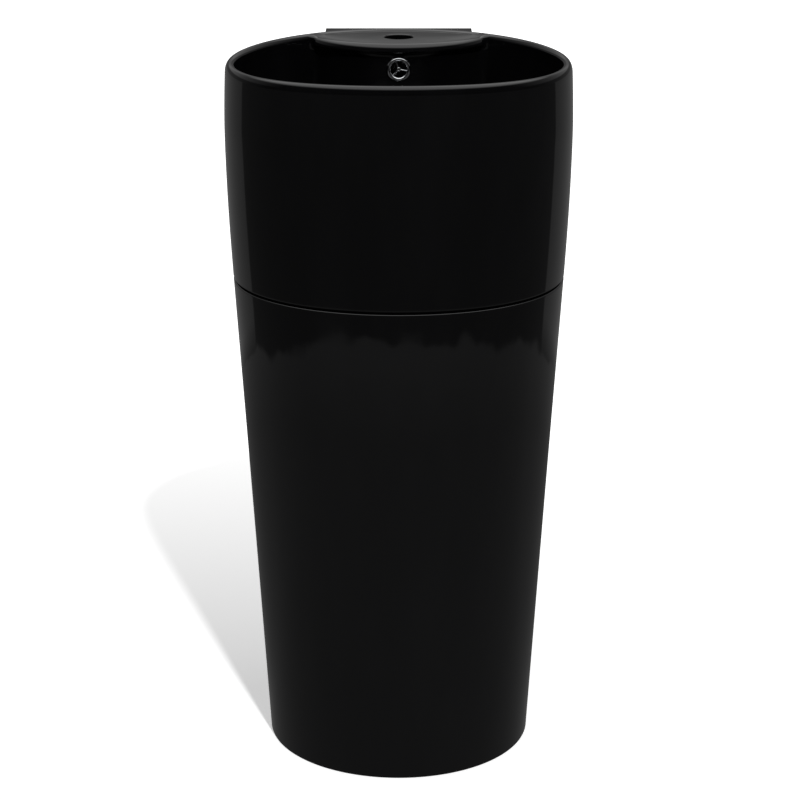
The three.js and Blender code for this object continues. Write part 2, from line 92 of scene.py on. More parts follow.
# ---- the plan of the ceramic ---------------------------------------------------------------------
# Each side rises in a straight flare, rolls into a shoulder and leans in at the top: its distance
# from the middle at the floor, its growth per millimetre and its shoulder's distance.
SIDE = (161.3, 0.06, 202.7)
FRONT = (163.6, 0.0412, 197.9)
BACK = (157, 0.05, 197)
SHOULDER_BLEND = 2.5
SHOULDER_Z = 745
LEAN, LEAN_HEIGHT = 1.6, 80
BLUNT_FRONT, BLUNT_BACK = 22, 8
BLUNT_FULL_Z, BLUNT_POWER = 780, 3.5
CORE = 0.9

WALL = 12
COLUMN_WALL = 13
ROLL_OUT = (5.5, 12)
ROLL_IN = (4.5, 6)
ROLL_Z = RIM_Z - ROLL_OUT[1]

PLATE_HALF = 90
PLATE_TOP = RIM_Z - 0.5
PLATE_WALL = 12
PLATE_ROOT_Y = 120

DECK_Z = RIM_Z - 2
DECK_UNDER_Z = DECK_Z - 14
DECK_AXIS_Y = 222
DECK_RADIUS = 126.4
DECK_WALL = 10
NOSE, NOSE_DROP = 7.5, 9.5
DECK_FALL = 0.4
DRAFT = 2    # how far the bowl's wall has drawn in at its steepest place
CORNER_RADIUS = 10
TAP_Y, TAP_RADIUS = 140, 17.5

WASTE_Y = sum(node_reach("waste_body")) / 2
DRAIN_RADIUS = 23
BOWL_Z = 703
BOWL_DEPTH = RIM_Z - ROLL_IN[1] - BOWL_Z
SEAT_Z, SEAT_RADIUS = 700, 34
BOSS_Z, BOSS_RADIUS = 672, 36
# The basin's underside from the boss outwards, as (radius, height).
UNDERSIDE = ((52, 693.4), (80, 697), (104, 700.6), (125, 705.5), (150, 716.5), (168, 727), (180, 741))
BOSS_ROOT_Z = 692
# The bowl is a blunt cup: these bend its side and its floor.
CUP_SIDE, CUP_FLOOR = 2.6, 4.1

OVERFLOW_Z = sum(node_heights("overflow_ring")) / 2
OVERFLOW_FACE_Y = DECK_AXIS_Y - DECK_RADIUS
OVERFLOW_RADIUS = 12.6
DUCT_HALF, RIB_HALF, RIB_BACK_Y = 20, 29, 122

FIXING_X, FIXING_Z, FIXING_RADIUS = 55, 770, 7
SLOT_HALF, SLOT_TOP = 65, 560
LUG_X, LUG_HOLE = 125, 4

RIM_STEPS, CORNER_STEPS, DECK_STEPS = 84, 12, 28
HALF_STEPS = RIM_STEPS + CORNER_STEPS + DECK_STEPS
AROUND = 2 * HALF_STEPS


def smooth(value):
    value = min(1, max(0, value))
    return value * value * (3 - 2 * value)


def mix(first, second, share):
    return first + (second - first) * share


def rolled(line, z):
    foot, flare, shoulder = line
    reach = foot + flare * z
    lean = max(0, z - SHOULDER_Z) / LEAN_HEIGHT
    return reach - SHOULDER_BLEND * log(1 + exp((reach - shoulder) / SHOULDER_BLEND)) - LEAN * lean ** 2


def plan(radius, z, angle):
    """Where a lathe point lands on the sink's plan. Angle 0 faces the user."""
    height = min(max(z, 0), RIM_Z)
    side, front, back = (rolled(line, height) for line in (SIDE, FRONT, BACK))
    blunt = min(1, height / BLUNT_FULL_Z) ** BLUNT_POWER
    mean = blunt * (BLUNT_FRONT + BLUNT_BACK) / 2
    swing = blunt * (BLUNT_FRONT - BLUNT_BACK) / 2
    core = min(1, radius / side / CORE) ** 2
    forward = cos(angle)
    bend = core * (mean + swing * forward) * (2 * forward ** 2 - 1)
    y = (back - front) / 2 - mean - radius * ((back + front) / 2 + swing) / side * forward + bend
    return Vector((radius * sin(angle), y, z))


def plan_ring(radius, z, around=256):
    return [plan(radius, z, tau * i / around) for i in range(around)]


TOP_RADIUS = rolled(SIDE, ROLL_Z)
INNER_RADIUS = TOP_RADIUS - WALL
INNER_Z = RIM_Z - ROLL_IN[1]


# ---- making pieces -------------------------------------------------------------------------------
CREASE = radians(32)


def deselect():
    if bpy.context.object and bpy.context.object.mode != "OBJECT":
        bpy.ops.object.mode_set(mode="OBJECT")
    bpy.ops.object.select_all(action="DESELECT")


def choose(piece):
    deselect()
    piece.select_set(True)
    bpy.context.view_layer.objects.active = piece


def put_ring(piece, ring):
    """Moves the selected ring of vertices to its places, in millimetres."""
    mesh = bmesh.from_edit_mesh(piece.data)
    number = mesh.verts.layers.int["around"]
    for vertex in mesh.verts:
        if vertex.select:
            vertex.co = ring[vertex[number]] * MM
    bmesh.update_edit_mesh(piece.data)


def loft(name, rings):
    """A circle extruded ring by ring. A ring gathered at one point closes the end, and a last ring
    in the first one's place closes the loop."""
    deselect()
    around = len(rings[0])
    bpy.ops.mesh.primitive_circle_add(vertices=around, radius=rings[0][0].length * MM + MM)
    piece = bpy.context.object
    piece.name = piece.data.name = name
    piece.data.attributes.new("around", "INT", "POINT").data.foreach_set("value", range(around))
    bpy.ops.object.mode_set(mode="EDIT")
    bpy.ops.mesh.select_mode(type="EDGE")
    bpy.ops.mesh.select_all(action="SELECT")
    put_ring(piece, rings[0])
    for ring in rings[1:]:
        bpy.ops.mesh.extrude_edges_indiv()
        put_ring(piece, ring)
    bpy.ops.mesh.select_all(action="SELECT")
    bpy.ops.mesh.remove_doubles(threshold=1e-6)
    bpy.ops.mesh.normals_make_consistent(inside=False)
    bpy.ops.object.mode_set(mode="OBJECT")
    piece.data.attributes.remove(piece.data.attributes["around"])
    return piece


def upright(y=WASTE_Y):
    """Turns (radius, height, angle) about an upright axis."""
    return lambda radius, height, angle: Vector((radius * sin(angle), y - radius * cos(angle), height))


def level(z, start=0, way=1):
    """Turns (radius, distance, angle) about an axis along Y, distances counted from start."""
    return lambda radius, reach, angle: Vector((radius * sin(angle), start + way * reach,
                                                z + radius * cos(angle)))


def aside(axis, x):
    """The same axis moved to one side."""
    return lambda *place: axis(*place) + Vector((x, 0, 0))


def softened(profile, fillet):
    """The profile with each corner rounded, and a close pair of points that keeps the flats flat."""
    closed = profile[0] == profile[-1]
    points = [Vector(point) for point in profile]
    if closed:
        points = points[:-1]
    soft = []
    for i, corner in enumerate(points):
        if not closed and i in (0, len(points) - 1):
            soft.append(corner)
            continue
        before, after = points[i - 1] - corner, points[(i + 1) % len(points)] - corner
        cut = min(fillet, 0.4 * before.length, 0.4 * after.length)
        near, far = corner + before.normalized() * cut, corner + after.normalized() * cut
        for step in range(5):
            t = step / 4
            soft.append(mix(mix(near, corner, t), mix(corner, far, t), t))
    if closed:
        soft.append(soft[0].copy())
    steady = [soft[0]]
    for before, after in zip(soft, soft[1:]):
        gap = after - before
        if gap.length > 4 * fillet:
            edge = gap.normalized() * fillet * 0.5
            steady += [before + edge, after - edge]
        steady.append(after)
    return [tuple(point) for point in steady]


def fine(profile, low, high, step):
    """The profile with extra points where it runs between two heights, for a thread or a knurl."""
    points = [profile[0]]
    for (r0, h0), (r1, h1) in zip(profile, profile[1:]):
        if abs(h1 - h0) > step and min(h0, h1) < high and max(h0, h1) > low:
            count = int(abs(h1 - h0) / step)
            points += [(mix(r0, r1, i / count), mix(h0, h1, i / count)) for i in range(1, count)]
        points.append((r1, h1))
    return points


def turned(name, profile, axis=None, around=96, fillet=0.35, carve=None, detail=None):
    """A profile of (radius, height) turned about an axis. Carve gives the reach left at a place, and
    detail the two heights that need finer rings for it, and their step."""
    axis = axis or upright()
    profile = softened(profile, fillet) if fillet else profile
    profile = fine(profile, *detail) if detail else profile
    rings = []
    for radius, height in profile:
        angles = [tau * step / around for step in range(around)]
        reach = [carve(radius, height, angle) if carve else radius for angle in angles]
        rings.append([axis(r, height, angle) for r, angle in zip(reach, angles)])
    return loft(name, rings)


def block(name, low, high, bevel=0, edges=lambda along: True, segments=4):
    """A box between two corners. The edges whose direction is wanted are rounded."""
    deselect()
    low, high = Vector(low), Vector(high)
    bpy.ops.mesh.primitive_cube_add(size=1, location=(low + high) / 2 * MM, scale=(high - low) * MM)
    piece = bpy.context.object
    piece.name = piece.data.name = name
    bpy.ops.object.transform_apply(location=True, rotation=True, scale=True)
    if bevel:
        bpy.ops.object.mode_set(mode="EDIT")
        bpy.ops.mesh.select_mode(type="EDGE")
        bpy.ops.mesh.select_all(action="DESELECT")
        mesh = bmesh.from_edit_mesh(piece.data)
        for edge in mesh.edges:
            edge.select = edges((edge.verts[1].co - edge.verts[0].co).normalized())
        bmesh.update_edit_mesh(piece.data)
        bpy.ops.mesh.bevel(offset=bevel * MM, segments=segments, affect="EDGES")
        bpy.ops.object.mode_set(mode="OBJECT")
    return piece


def rod(name, radius, low, high, axis, around=96):
    return turned(name, [(0, low), (radius, low), (radius, high), (0, high)], axis, around, fillet=0)


def combine(piece, other, operation):
    """Joins, cuts or crosses a piece with another, which is used up."""
    choose(piece)
    step = piece.modifiers.new(operation.title(), "BOOLEAN")
    step.operation = operation
    step.solver = "MANIFOLD"
    step.object = other
    bpy.ops.object.modifier_apply(modifier=step.name)
    if not piece.data.polygons:
        raise RuntimeError(f"{piece.name} is empty after {other.name}")
    bpy.data.objects.remove(other)
    return piece


def cut(piece, *tools):
    for tool in tools:
        combine(piece, tool, "DIFFERENCE")
    return piece


def join(piece, *others):
    for other in others:
        combine(piece, other, "UNION")
    return piece


def finished(piece, slot, body="sink"):
    """Shades a piece, gives it its finish, hangs it under its body and hides the frame's part that it stands
    for. The ceramic's long straight walls keep flat normals beside their small roundings."""
    choose(piece)
    bpy.ops.object.shade_smooth_by_angle(angle=CREASE)
    if slot == "ceramic":
        bpy.ops.object.modifier_add(type="WEIGHTED_NORMAL")
        piece.modifiers[-1].keep_sharp = True
        bpy.ops.object.modifier_apply(modifier=piece.modifiers[-1].name)
    piece.data.materials.clear()
    piece.data.materials.append(finishes()[slot])
    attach(piece, body)
    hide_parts(piece.name.removesuffix("_piece"))
    return piece


# ---- finishes ------------------------------------------------------------------------------------
def new_group(name, inputs, outputs):
    """An empty shader group with its sockets: (name, type, default)."""
    group = bpy.data.node_groups.new(name, "ShaderNodeTree")
    for label, kind, value in inputs:
        socket = group.interface.new_socket(name=label, in_out="INPUT", socket_type=kind)
        socket.default_value = value
    for label, kind in outputs:
        group.interface.new_socket(name=label, in_out="OUTPUT", socket_type=kind)
    return group, group.nodes.new("NodeGroupInput"), group.nodes.new("NodeGroupOutput")


def add_node(tree, kind, inputs=None, **settings):
    node = tree.nodes.new(kind)
    for name, value in settings.items():
        setattr(node, name, value)
    for socket, value in (inputs or {}).items():
        if isinstance(value, bpy.types.NodeSocket):
            tree.links.new(value, node.inputs[socket])
        else:
            node.inputs[socket].default_value = value
    return node


def noise(tree, place, scale, detail=2.0, roughness=0.5):
    node = add_node(tree, "ShaderNodeTexNoise", {"Vector": place, "Scale": scale, "Detail": detail,
                                                 "Roughness": roughness})
    return node.outputs["Fac"]


def remap(tree, value, low, high, to_low, to_high):
    node = add_node(tree, "ShaderNodeMapRange", {"Value": value, "From Min": low, "From Max": high,
                                                 "To Min": to_low, "To Max": to_high})
    return node.outputs["Result"]


def math_node(tree, operation, first, second=0.0):
    return add_node(tree, "ShaderNodeMath", {0: first, 1: second}, operation=operation).outputs[0]


def blend_colours(tree, factor, first, second):
    first, second = (colour if isinstance(colour, bpy.types.NodeSocket) else (*colour, 1)
                     for colour in (first, second))
    inputs = {0: factor, 6: first, 7: second}
    return add_node(tree, "ShaderNodeMix", inputs, data_type="RGBA").outputs[2]


def surface_group():
    """Slow waves, fine grain and wiped streaks, as one height and one mask of how dull it is."""
    group, given, result = new_group(
        "Surface", [("Place", "NodeSocketVector", (0, 0, 0)), ("Wave Scale", "NodeSocketFloat", 30),
                    ("Grain Scale", "NodeSocketFloat", 900), ("Grain Share", "NodeSocketFloat", 0.2),
                    ("Streak Scale", "NodeSocketFloat", 60)],
        [("Height", "NodeSocketFloat"), ("Dulled", "NodeSocketFloat")])
    place = given.outputs["Place"]
    wave = noise(group, place, given.outputs["Wave Scale"], 1)
    grain = noise(group, place, given.outputs["Grain Scale"], 3, 0.6)
    share = math_node(group, "MULTIPLY", grain, given.outputs["Grain Share"])
    stretched = add_node(group, "ShaderNodeMapping", {"Vector": place, "Scale": (1, 1, 0.25)})
    streak = noise(group, stretched.outputs[0], given.outputs["Streak Scale"], 4, 0.65)
    group.links.new(math_node(group, "ADD", wave, share), result.inputs["Height"])
    group.links.new(remap(group, streak, 0.42, 0.72, 0, 1), result.inputs["Dulled"])
    return group


def deposit_group():
    """Faint dried water marks and settled dust that gather on faces that look up."""
    group, given, result = new_group(
        "Deposit", [("Place", "NodeSocketVector", (0, 0, 0)), ("Spot Scale", "NodeSocketFloat", 120),
                    ("Amount", "NodeSocketFloat", 0.5)],
        [("Mask", "NodeSocketFloat")])
    place = given.outputs["Place"]
    cells = add_node(group, "ShaderNodeTexVoronoi", {"Vector": place, "Scale": given.outputs["Spot Scale"]},
                     feature="SMOOTH_F1")
    rings = remap(group, cells.outputs["Distance"], 0.18, 0.3, 1, 0)
    patches = remap(group, noise(group, place, 14, 3), 0.5, 0.72, 0, 1)
    normal = add_node(group, "ShaderNodeNewGeometry").outputs["Normal"]
    upward = add_node(group, "ShaderNodeSeparateXYZ", {"Vector": normal}).outputs["Z"]
    facing = remap(group, upward, -0.2, 0.9, 0.15, 1)
    spots = math_node(group, "MULTIPLY", rings, patches)
    settled = math_node(group, "MULTIPLY", spots, facing)
    group.links.new(math_node(group, "MULTIPLY", settled, given.outputs["Amount"]), result.inputs["Mask"])
    return group


def place_group(tree, group, inputs):
    return add_node(tree, "ShaderNodeGroup", inputs, node_tree=group).outputs


def new_finish(name, shades, gloss, metal=0.0, bump=(0.1, 0.0002), waves=(30, 900, 0.2, 60),
               spots=(120, 0.3), spot_shade=None, **constants):
    """A finish that varies between two shades and two roughnesses, with a fine relief."""
    material = bpy.data.materials.new(name)
    material.use_nodes = True
    tree = material.node_tree
    shader = tree.nodes["Principled BSDF"]
    place = add_node(tree, "ShaderNodeTexCoord").outputs["Object"]
    surface = place_group(tree, SHARED["surface"], {
        "Place": place, "Wave Scale": waves[0], "Grain Scale": waves[1], "Grain Share": waves[2],
        "Streak Scale": waves[3]})
    deposit = place_group(tree, SHARED["deposit"], {
        "Place": place, "Spot Scale": spots[0], "Amount": spots[1]})["Mask"]
    tone = blend_colours(tree, surface["Dulled"], shades[0], shades[1])
    marked = blend_colours(tree, deposit, tone, spot_shade or shades[1])
    tree.links.new(marked, shader.inputs["Base Color"])
    rough = remap(tree, surface["Dulled"], 0, 1, *gloss)
    added = math_node(tree, "MULTIPLY", deposit, 0.15)
    tree.links.new(math_node(tree, "ADD", rough, added), shader.inputs["Roughness"])
    relief = add_node(tree, "ShaderNodeBump", {"Height": surface["Height"], "Strength": bump[0],
                                               "Distance": bump[1]})
    tree.links.new(relief.outputs["Normal"], shader.inputs["Normal"])
    shader.inputs["Metallic"].default_value = metal
    for socket, value in constants.items():
        shader.inputs[socket.replace("_", " ")].default_value = value
    return material


SHARED = {}


def finishes():
    """Every finish of the sink, made once."""
    if "surface" not in SHARED:
        SHARED["surface"], SHARED["deposit"] = surface_group(), deposit_group()
        glaze = bpy.context.scene.sink_glaze
        colour = tuple(glaze.colour)
        lighter = tuple(min(1, 1.25 * value + 0.0005) for value in colour)
        SHARED["ceramic"] = new_finish(
            "black_glaze", (colour, lighter), (glaze.roughness, glaze.roughness + 0.045),
            bump=(glaze.waviness, 0.0006), waves=(22, 420, 0.03, 16), spots=(160, 0.012),
            spot_shade=(0.05, 0.05, 0.05), IOR=1.5)
        SHARED["chrome"] = new_finish(
            "polished_chrome", ((0.74, 0.75, 0.77), (0.6, 0.61, 0.63)), (0.045, 0.17), metal=1,
            bump=(0.05, 0.0001), waves=(60, 2400, 0.3, 190), spots=(900, 0.35),
            spot_shade=(0.5, 0.5, 0.49))
        SHARED["brass"] = new_finish(
            "turned_brass", ((0.56, 0.4, 0.16), (0.34, 0.22, 0.09)), (0.24, 0.5), metal=1,
            bump=(0.25, 0.0001), waves=(90, 3200, 0.5, 240), spots=(500, 0.5),
            spot_shade=(0.2, 0.13, 0.07))
        SHARED["rubber"] = new_finish(
            "black_rubber", ((0.012, 0.012, 0.013), (0.035, 0.035, 0.034)), (0.62, 0.85),
            bump=(0.35, 0.0001), waves=(150, 3600, 0.6, 260), spots=(420, 0.4),
            spot_shade=(0.11, 0.105, 0.1), Specular_IOR_Level=0.35)
        SHARED["washer_plastic"] = new_finish(
            "white_plastic", ((0.8, 0.8, 0.78), (0.66, 0.65, 0.61)), (0.34, 0.55),
            bump=(0.18, 0.0001), waves=(120, 2600, 0.45, 180), spots=(380, 0.3),
            spot_shade=(0.48, 0.45, 0.4))
        SHARED["spring_steel"] = new_finish(
            "spring_steel", ((0.5, 0.51, 0.53), (0.3, 0.3, 0.31)), (0.22, 0.42), metal=1,
            bump=(0.2, 0.00005), waves=(400, 5200, 0.5, 700), spots=(1200, 0.3),
            spot_shade=(0.22, 0.2, 0.18))
    return SHARED


# ---- basin ---------------------------------------------------------------------------------------
def rim_point(angle, reach=0):
    """A place on the inner line of the rim, or that far into the rim, and the way into the rim."""
    here = rim_line(angle)
    along = rim_line(angle + 0.001) - rim_line(angle - 0.001)
    outward = Vector((along.y, -along.x, 0)).normalized()
    if outward.dot(here) < 0:
        outward.negate()
    return here + outward * reach, outward


def rim_line(angle):
    point = plan(INNER_RADIUS, INNER_Z, angle)
    return Vector((point.x, point.y, 0))


DECK_AXIS = Vector((0, DECK_AXIS_Y, 0))


def corner():
    """The rim angle where the corner's rounding starts, and the middle of that rounding."""
    low, high = radians(100), radians(165)
    for _ in range(60):
        middle = (low + high) / 2
        centre = rim_point(middle, -CORNER_RADIUS)[0]
        if (centre - DECK_AXIS).length > DECK_RADIUS + CORNER_RADIUS:
            low = middle
        else:
            high = middle
    return middle, centre


def inside_line():
    """Half of the bowl's inner line from the front to the back: for each place its outer angle, its
    point, the way into the wall and how far it belongs to the deck."""
    last_angle, centre = corner()
    from_rim = rim_point(last_angle)[1]
    to_deck = (DECK_AXIS - centre).normalized()
    turn = from_rim.angle(to_deck)
    line = []
    for i in range(RIM_STEPS):
        angle = last_angle * i / RIM_STEPS
        point, outward = rim_point(angle)
        line.append((angle, point, outward, 0.0))
    side = (centre - DECK_AXIS).normalized()
    start = abs(side.angle(Vector((0, -1, 0))))
    for i in range(CORNER_STEPS + DECK_STEPS + 1):
        angle = last_angle + (pi - last_angle) * i / (CORNER_STEPS + DECK_STEPS)
        if i < CORNER_STEPS:
            share = i / CORNER_STEPS
            outward = (from_rim * sin((1 - share) * turn) + to_deck * sin(share * turn)).normalized()
            line.append((angle, centre + outward * CORNER_RADIUS, outward, smooth(share)))
        else:
            bow = start * (1 - (i - CORNER_STEPS) / DECK_STEPS)
            outward = Vector((-sin(bow), cos(bow), 0))
            line.append((angle, DECK_AXIS - outward * DECK_RADIUS, outward, 1.0))
    return line


def mirrored(half):
    """A full ring from the half on the positive side, front and back points once each."""
    return half + [Vector((-point.x, point.y, point.z)) for point in reversed(half[1:-1])]


def rim_section():
    """The inner rounding of the rim: (distance into the wall, height), top first."""
    width, height = ROLL_IN
    roll = [(width + width * cos(a), INNER_Z + height * sin(a))
            for a in (pi / 2 + pi / 2 * i / 8 for i in range(9))]
    return [(width + 0.5, RIM_Z)] + roll + [(0, INNER_Z - fall) for fall in (2, 4, 6, 8, 11, 14)]


def deck_section():
    """The rounded nose of the tap deck, the same way round."""
    top, nose_z = DECK_Z - DECK_FALL, DECK_Z - NOSE_DROP
    nose = [(NOSE * cos(a), nose_z + (NOSE_DROP - DECK_FALL) * sin(a))
            for a in (pi / 2 + pi / 2 * i / 9 for i in range(10))]
    under = [(-NOSE * smooth(1 - i / 5), nose_z - 1.2 * i) for i in range(1, 5)]
    return [(3, top)] + nose + under + [(0, INNER_Z - 14)]


def basin_rings():
    line = inside_line()
    sections = list(zip(rim_section(), deck_section()))
    axis = Vector((0, WASTE_Y, 0))

    def outer(radius, z):
        return mirrored([plan(radius, z, angle) for angle, *_ in line])

    def inner(rim, deck):
        half = []
        for _, point, outward, share in line:
            reach, height = mix(rim[0], deck[0], share), mix(rim[1], deck[1], share)
            place = point + outward * reach
            half.append(Vector((place.x, place.y, height)))
        return mirrored(half)

    spokes = [(point - axis, 1 - share) for _, point, _, share in line]
    mean = sum(spoke.length for spoke, _ in spokes) / len(spokes)

    def bowl(share, z):
        """The bowl's inner line drawn in towards the waste, and round near it."""
        blend = smooth((0.5 - share) / 0.28)
        draft = DRAFT * smooth((INNER_Z - z) / 55) * smooth((share - 0.6) / 0.3)
        half = []
        for spoke, on_rim in spokes:
            reach = share * mix(spoke.length, mean, blend) - draft * on_rim
            place = axis + spoke.normalized() * reach
            half.append(Vector((place.x, place.y, z)))
        return mirrored(half)

    def round_ring(radius, z):
        return bowl(radius / mean, z)

    edge = 2
    rings = [outer(rolled(SIDE, JOINT_Z) - WALL, JOINT_Z)]
    bottom = rolled(SIDE, JOINT_Z)
    for i in range(6):
        turn = pi / 2 * i / 5
        rings.append(outer(bottom - edge + edge * sin(turn), JOINT_Z + edge - edge * cos(turn)))
    walls = [mix(JOINT_Z + edge, ROLL_Z, i / 26) for i in range(1, 26)]
    for z in (JOINT_Z + edge + 0.4, *walls, ROLL_Z - 0.5, ROLL_Z):
        rings.append(outer(rolled(SIDE, z), z))
    width, height = ROLL_OUT
    for i in range(1, 13):
        turn = pi / 2 * i / 12
        rings.append(outer(TOP_RADIUS - width + width * cos(turn), ROLL_Z + height * sin(turn)))
    crown = rings[-1]
    start = inner(*sections[0])
    shares = [line[min(i, AROUND - i)][3] for i in range(AROUND)]
    for part in (0.02, 0.045, 0.07, 0.1, 0.14, 0.2, 0.3, 0.42, 0.55, 0.68, 0.8, 0.9, 0.96):
        ring = []
        for back, front, share in zip(crown, start, shares):
            place = mix(back, front, part)
            step = smooth((place - back).length / 8.5) * (RIM_Z - DECK_Z)
            fall = (step + DECK_FALL * max(0, (part - 0.5) / 0.5) ** 2) * share
            ring.append(Vector((place.x, place.y, RIM_Z - fall)))
        rings.append(ring)
    rings += [inner(rim, deck) for rim, deck in sections]

    last, steps, first_turn = SEAT_RADIUS / mean, 44, 0.11
    for i in range(1, steps + 1):
        turn = mix(first_turn, pi / 2 * 0.985, i / steps)
        share, depth = cos(turn) ** (2 / CUP_SIDE), BOWL_DEPTH * sin(turn) ** (2 / CUP_FLOOR)
        if depth > 15 and share > last * 1.03:
            rings.append(bowl(share, INNER_Z - depth))
    rings += [round_ring(SEAT_RADIUS + 0.9, BOWL_Z), round_ring(SEAT_RADIUS + 0.2, BOWL_Z - 0.5),
              round_ring(SEAT_RADIUS, BOWL_Z - 1.2), round_ring(SEAT_RADIUS, SEAT_Z),
              round_ring(DRAIN_RADIUS + 0.8, SEAT_Z), round_ring(DRAIN_RADIUS, SEAT_Z - 0.8),
              round_ring(DRAIN_RADIUS, BOSS_Z), round_ring(BOSS_RADIUS - 2, BOSS_Z),
              round_ring(BOSS_RADIUS - 0.6, BOSS_Z + 0.6), round_ring(BOSS_RADIUS, BOSS_Z + 2),
              round_ring(BOSS_RADIUS, BOSS_ROOT_Z - 4), round_ring(BOSS_RADIUS + 2, BOSS_ROOT_Z)]
    rings += [outer(radius, z) for radius, z in UNDERSIDE]
    skirt = (738, 722, 702, 680, 655, 630, JOINT_Z + 3)
    rings += [outer(rolled(SIDE, z) - WALL, z) for z in skirt]
    return rings + [rings[0]]



def vertical(along):
    return abs(along.z) > 0.9


def sideways(name, outline, half):
    """A (y, z) outline drawn out to both sides of the middle plane."""
    deselect()
    bpy.ops.mesh.primitive_circle_add(vertices=len(outline), fill_type="NGON")
    piece = bpy.context.object
    piece.name = piece.data.name = name
    bpy.ops.object.mode_set(mode="EDIT")
    mesh = bmesh.from_edit_mesh(piece.data)
    mesh.verts.ensure_lookup_table()
    for vertex, (y, z) in zip(mesh.verts, outline):
        vertex.co = Vector((-half, y, z)) * MM
    bmesh.update_edit_mesh(piece.data)
    bpy.ops.mesh.select_all(action="SELECT")
    bpy.ops.mesh.extrude_region_move(TRANSFORM_OT_translate={"value": (2 * half * MM, 0, 0)})
    bpy.ops.mesh.select_all(action="SELECT")
    bpy.ops.mesh.normals_make_consistent(inside=False)
    bpy.ops.object.mode_set(mode="OBJECT")
    return piece


def plate_block():
    """The flat back plate, let into the rim so that the rim's roll runs on over it."""
    plate = block("plate", (-PLATE_HALF, PLATE_ROOT_Y + 20, JOINT_Z), (PLATE_HALF, WALL_Y, PLATE_TOP),
                  bevel=2.4, edges=lambda along: vertical(along) or abs(along.x) > 0.9)
    crown = TOP_RADIUS - ROLL_OUT[0] - 0.6
    above = [plan_ring(radius, z, 160) for radius, z in (
        (0, DECK_Z - 1), (crown, DECK_Z - 1), (crown, RIM_Z + 5), (0, RIM_Z + 5))]
    return cut(plate, loft("above_deck", above))


def deck_hollow():
    """The space behind the bowl and under the deck, open below."""
    low = JOINT_Z - 1
    bowed = rod("hollow", DECK_RADIUS - DECK_WALL, low, DECK_UNDER_Z, upright(DECK_AXIS_Y), 160)
    reach = PLATE_HALF - PLATE_WALL
    behind = block("behind", (-reach, PLATE_ROOT_Y, low - 1), (reach, WALL_Y - PLATE_WALL, DECK_UNDER_Z + 1))
    return combine(bowed, behind, "INTERSECT")


def overflow_rib():
    outline = [(WASTE_Y + 10, BOSS_Z), (110, BOSS_Z + 10), (RIB_BACK_Y, BOSS_Z + 22),
               (RIB_BACK_Y, DECK_Z - 8), (100, DECK_Z - 8), (100, BOWL_Z - 2), (WASTE_Y + 10, BOWL_Z - 6)]
    return sideways("rib", outline, RIB_HALF)


def overflow_duct():
    front, back = OVERFLOW_FACE_Y + DECK_WALL - 1, RIB_BACK_Y - 8
    outline = [(WASTE_Y + 18, BOSS_Z + 9), (back - 7, BOSS_Z + 18), (back, BOSS_Z + 26),
               (back, OVERFLOW_Z + 7), (front, OVERFLOW_Z + 7), (front, BOWL_Z - 12),
               (front - 6, BOSS_Z + 23), (WASTE_Y + 18, BOSS_Z + 20)]
    return sideways("duct", outline, DUCT_HALF)


def make_basin():
    piece = loft("basin_piece", basin_rings())
    join(piece, plate_block())
    cut(piece, deck_hollow())
    join(piece, overflow_rib())
    cut(piece, overflow_duct())
    opening = rod("opening", OVERFLOW_RADIUS, OVERFLOW_FACE_Y - 6, OVERFLOW_FACE_Y + DECK_WALL + 2,
                  level(OVERFLOW_Z))
    top = DECK_Z
    flared = [(0, top - 30), (TAP_RADIUS, top - 30), (TAP_RADIUS, top - 1.6), (TAP_RADIUS + 0.25, top - 0.8),
              (TAP_RADIUS + 0.85, top - 0.2), (TAP_RADIUS + 1.7, top + 0.05), (TAP_RADIUS + 2, top + 4),
              (0, top + 4)]
    tap_hole = turned("tap_hole", flared, upright(TAP_Y), 120, fillet=0)
    cut(piece, opening, tap_hole)
    for side in (-1, 1):
        cut(piece, rod("fixing", FIXING_RADIUS, WALL_Y - 30, WALL_Y + 5,
                       aside(level(FIXING_Z), side * FIXING_X), 48))
    return finished(piece, "ceramic")


# ---- pedestal ------------------------------------------------------------------------------------
def make_pedestal():
    top, edge = PEDESTAL_TOP, 2
    outside = [plan_ring(0, 0), plan_ring(rolled(SIDE, 0) - 1.5, 0), plan_ring(rolled(SIDE, 0) - 0.4, 0.4)]
    walls = [mix(1.5, top - edge, i / 24) for i in range(25)]
    outside += [plan_ring(rolled(SIDE, z), z) for z in (1.5, 2, *walls[1:-1], top - edge - 0.5, top - edge)]
    for i in range(1, 6):
        turn = pi / 2 * i / 5
        outside.append(plan_ring(rolled(SIDE, top) - edge + edge * cos(turn), top - edge + edge * sin(turn)))
    outside.append(plan_ring(0, top))
    piece = loft("pedestal_piece", outside)
    join(piece, block("spine", (-PLATE_HALF, PLATE_ROOT_Y, 0), (PLATE_HALF, WALL_Y, top), bevel=3,
                      edges=vertical))
    heights = [-5, 0] + [mix(0, top, i / 12) for i in range(1, 12)] + [top + 5]
    inside = [plan_ring(0, -5, 192)] + [plan_ring(rolled(SIDE, z) - COLUMN_WALL, z, 192) for z in heights]
    inside.append(plan_ring(0, top + 5, 192))
    cut(piece, loft("column_hollow", inside))
    slot = block("slot", (-SLOT_HALF, 60, -30), (SLOT_HALF, WALL_Y + 5, SLOT_TOP), bevel=10,
                 edges=lambda along: abs(along.y) > 0.9, segments=8)
    cut(piece, slot)
    for side in (-1, 1):
        near, far = sorted((side * (LUG_X - 21), side * (LUG_X + 26)))
        lug = block("lug", (near, -20, 0), (far, 20, 14), bevel=2, edges=lambda along: not vertical(along))
        join(piece, lug)
        hole = [(0, -5), (LUG_HOLE, -5), (LUG_HOLE, 13), (LUG_HOLE + 1.2, 14.2), (LUG_HOLE + 1.2, 20),
                (0, 20)]
        cut(piece, turned("hole", hole, aside(upright(0), side * LUG_X), 48, fillet=0))
    return finished(piece, "ceramic")


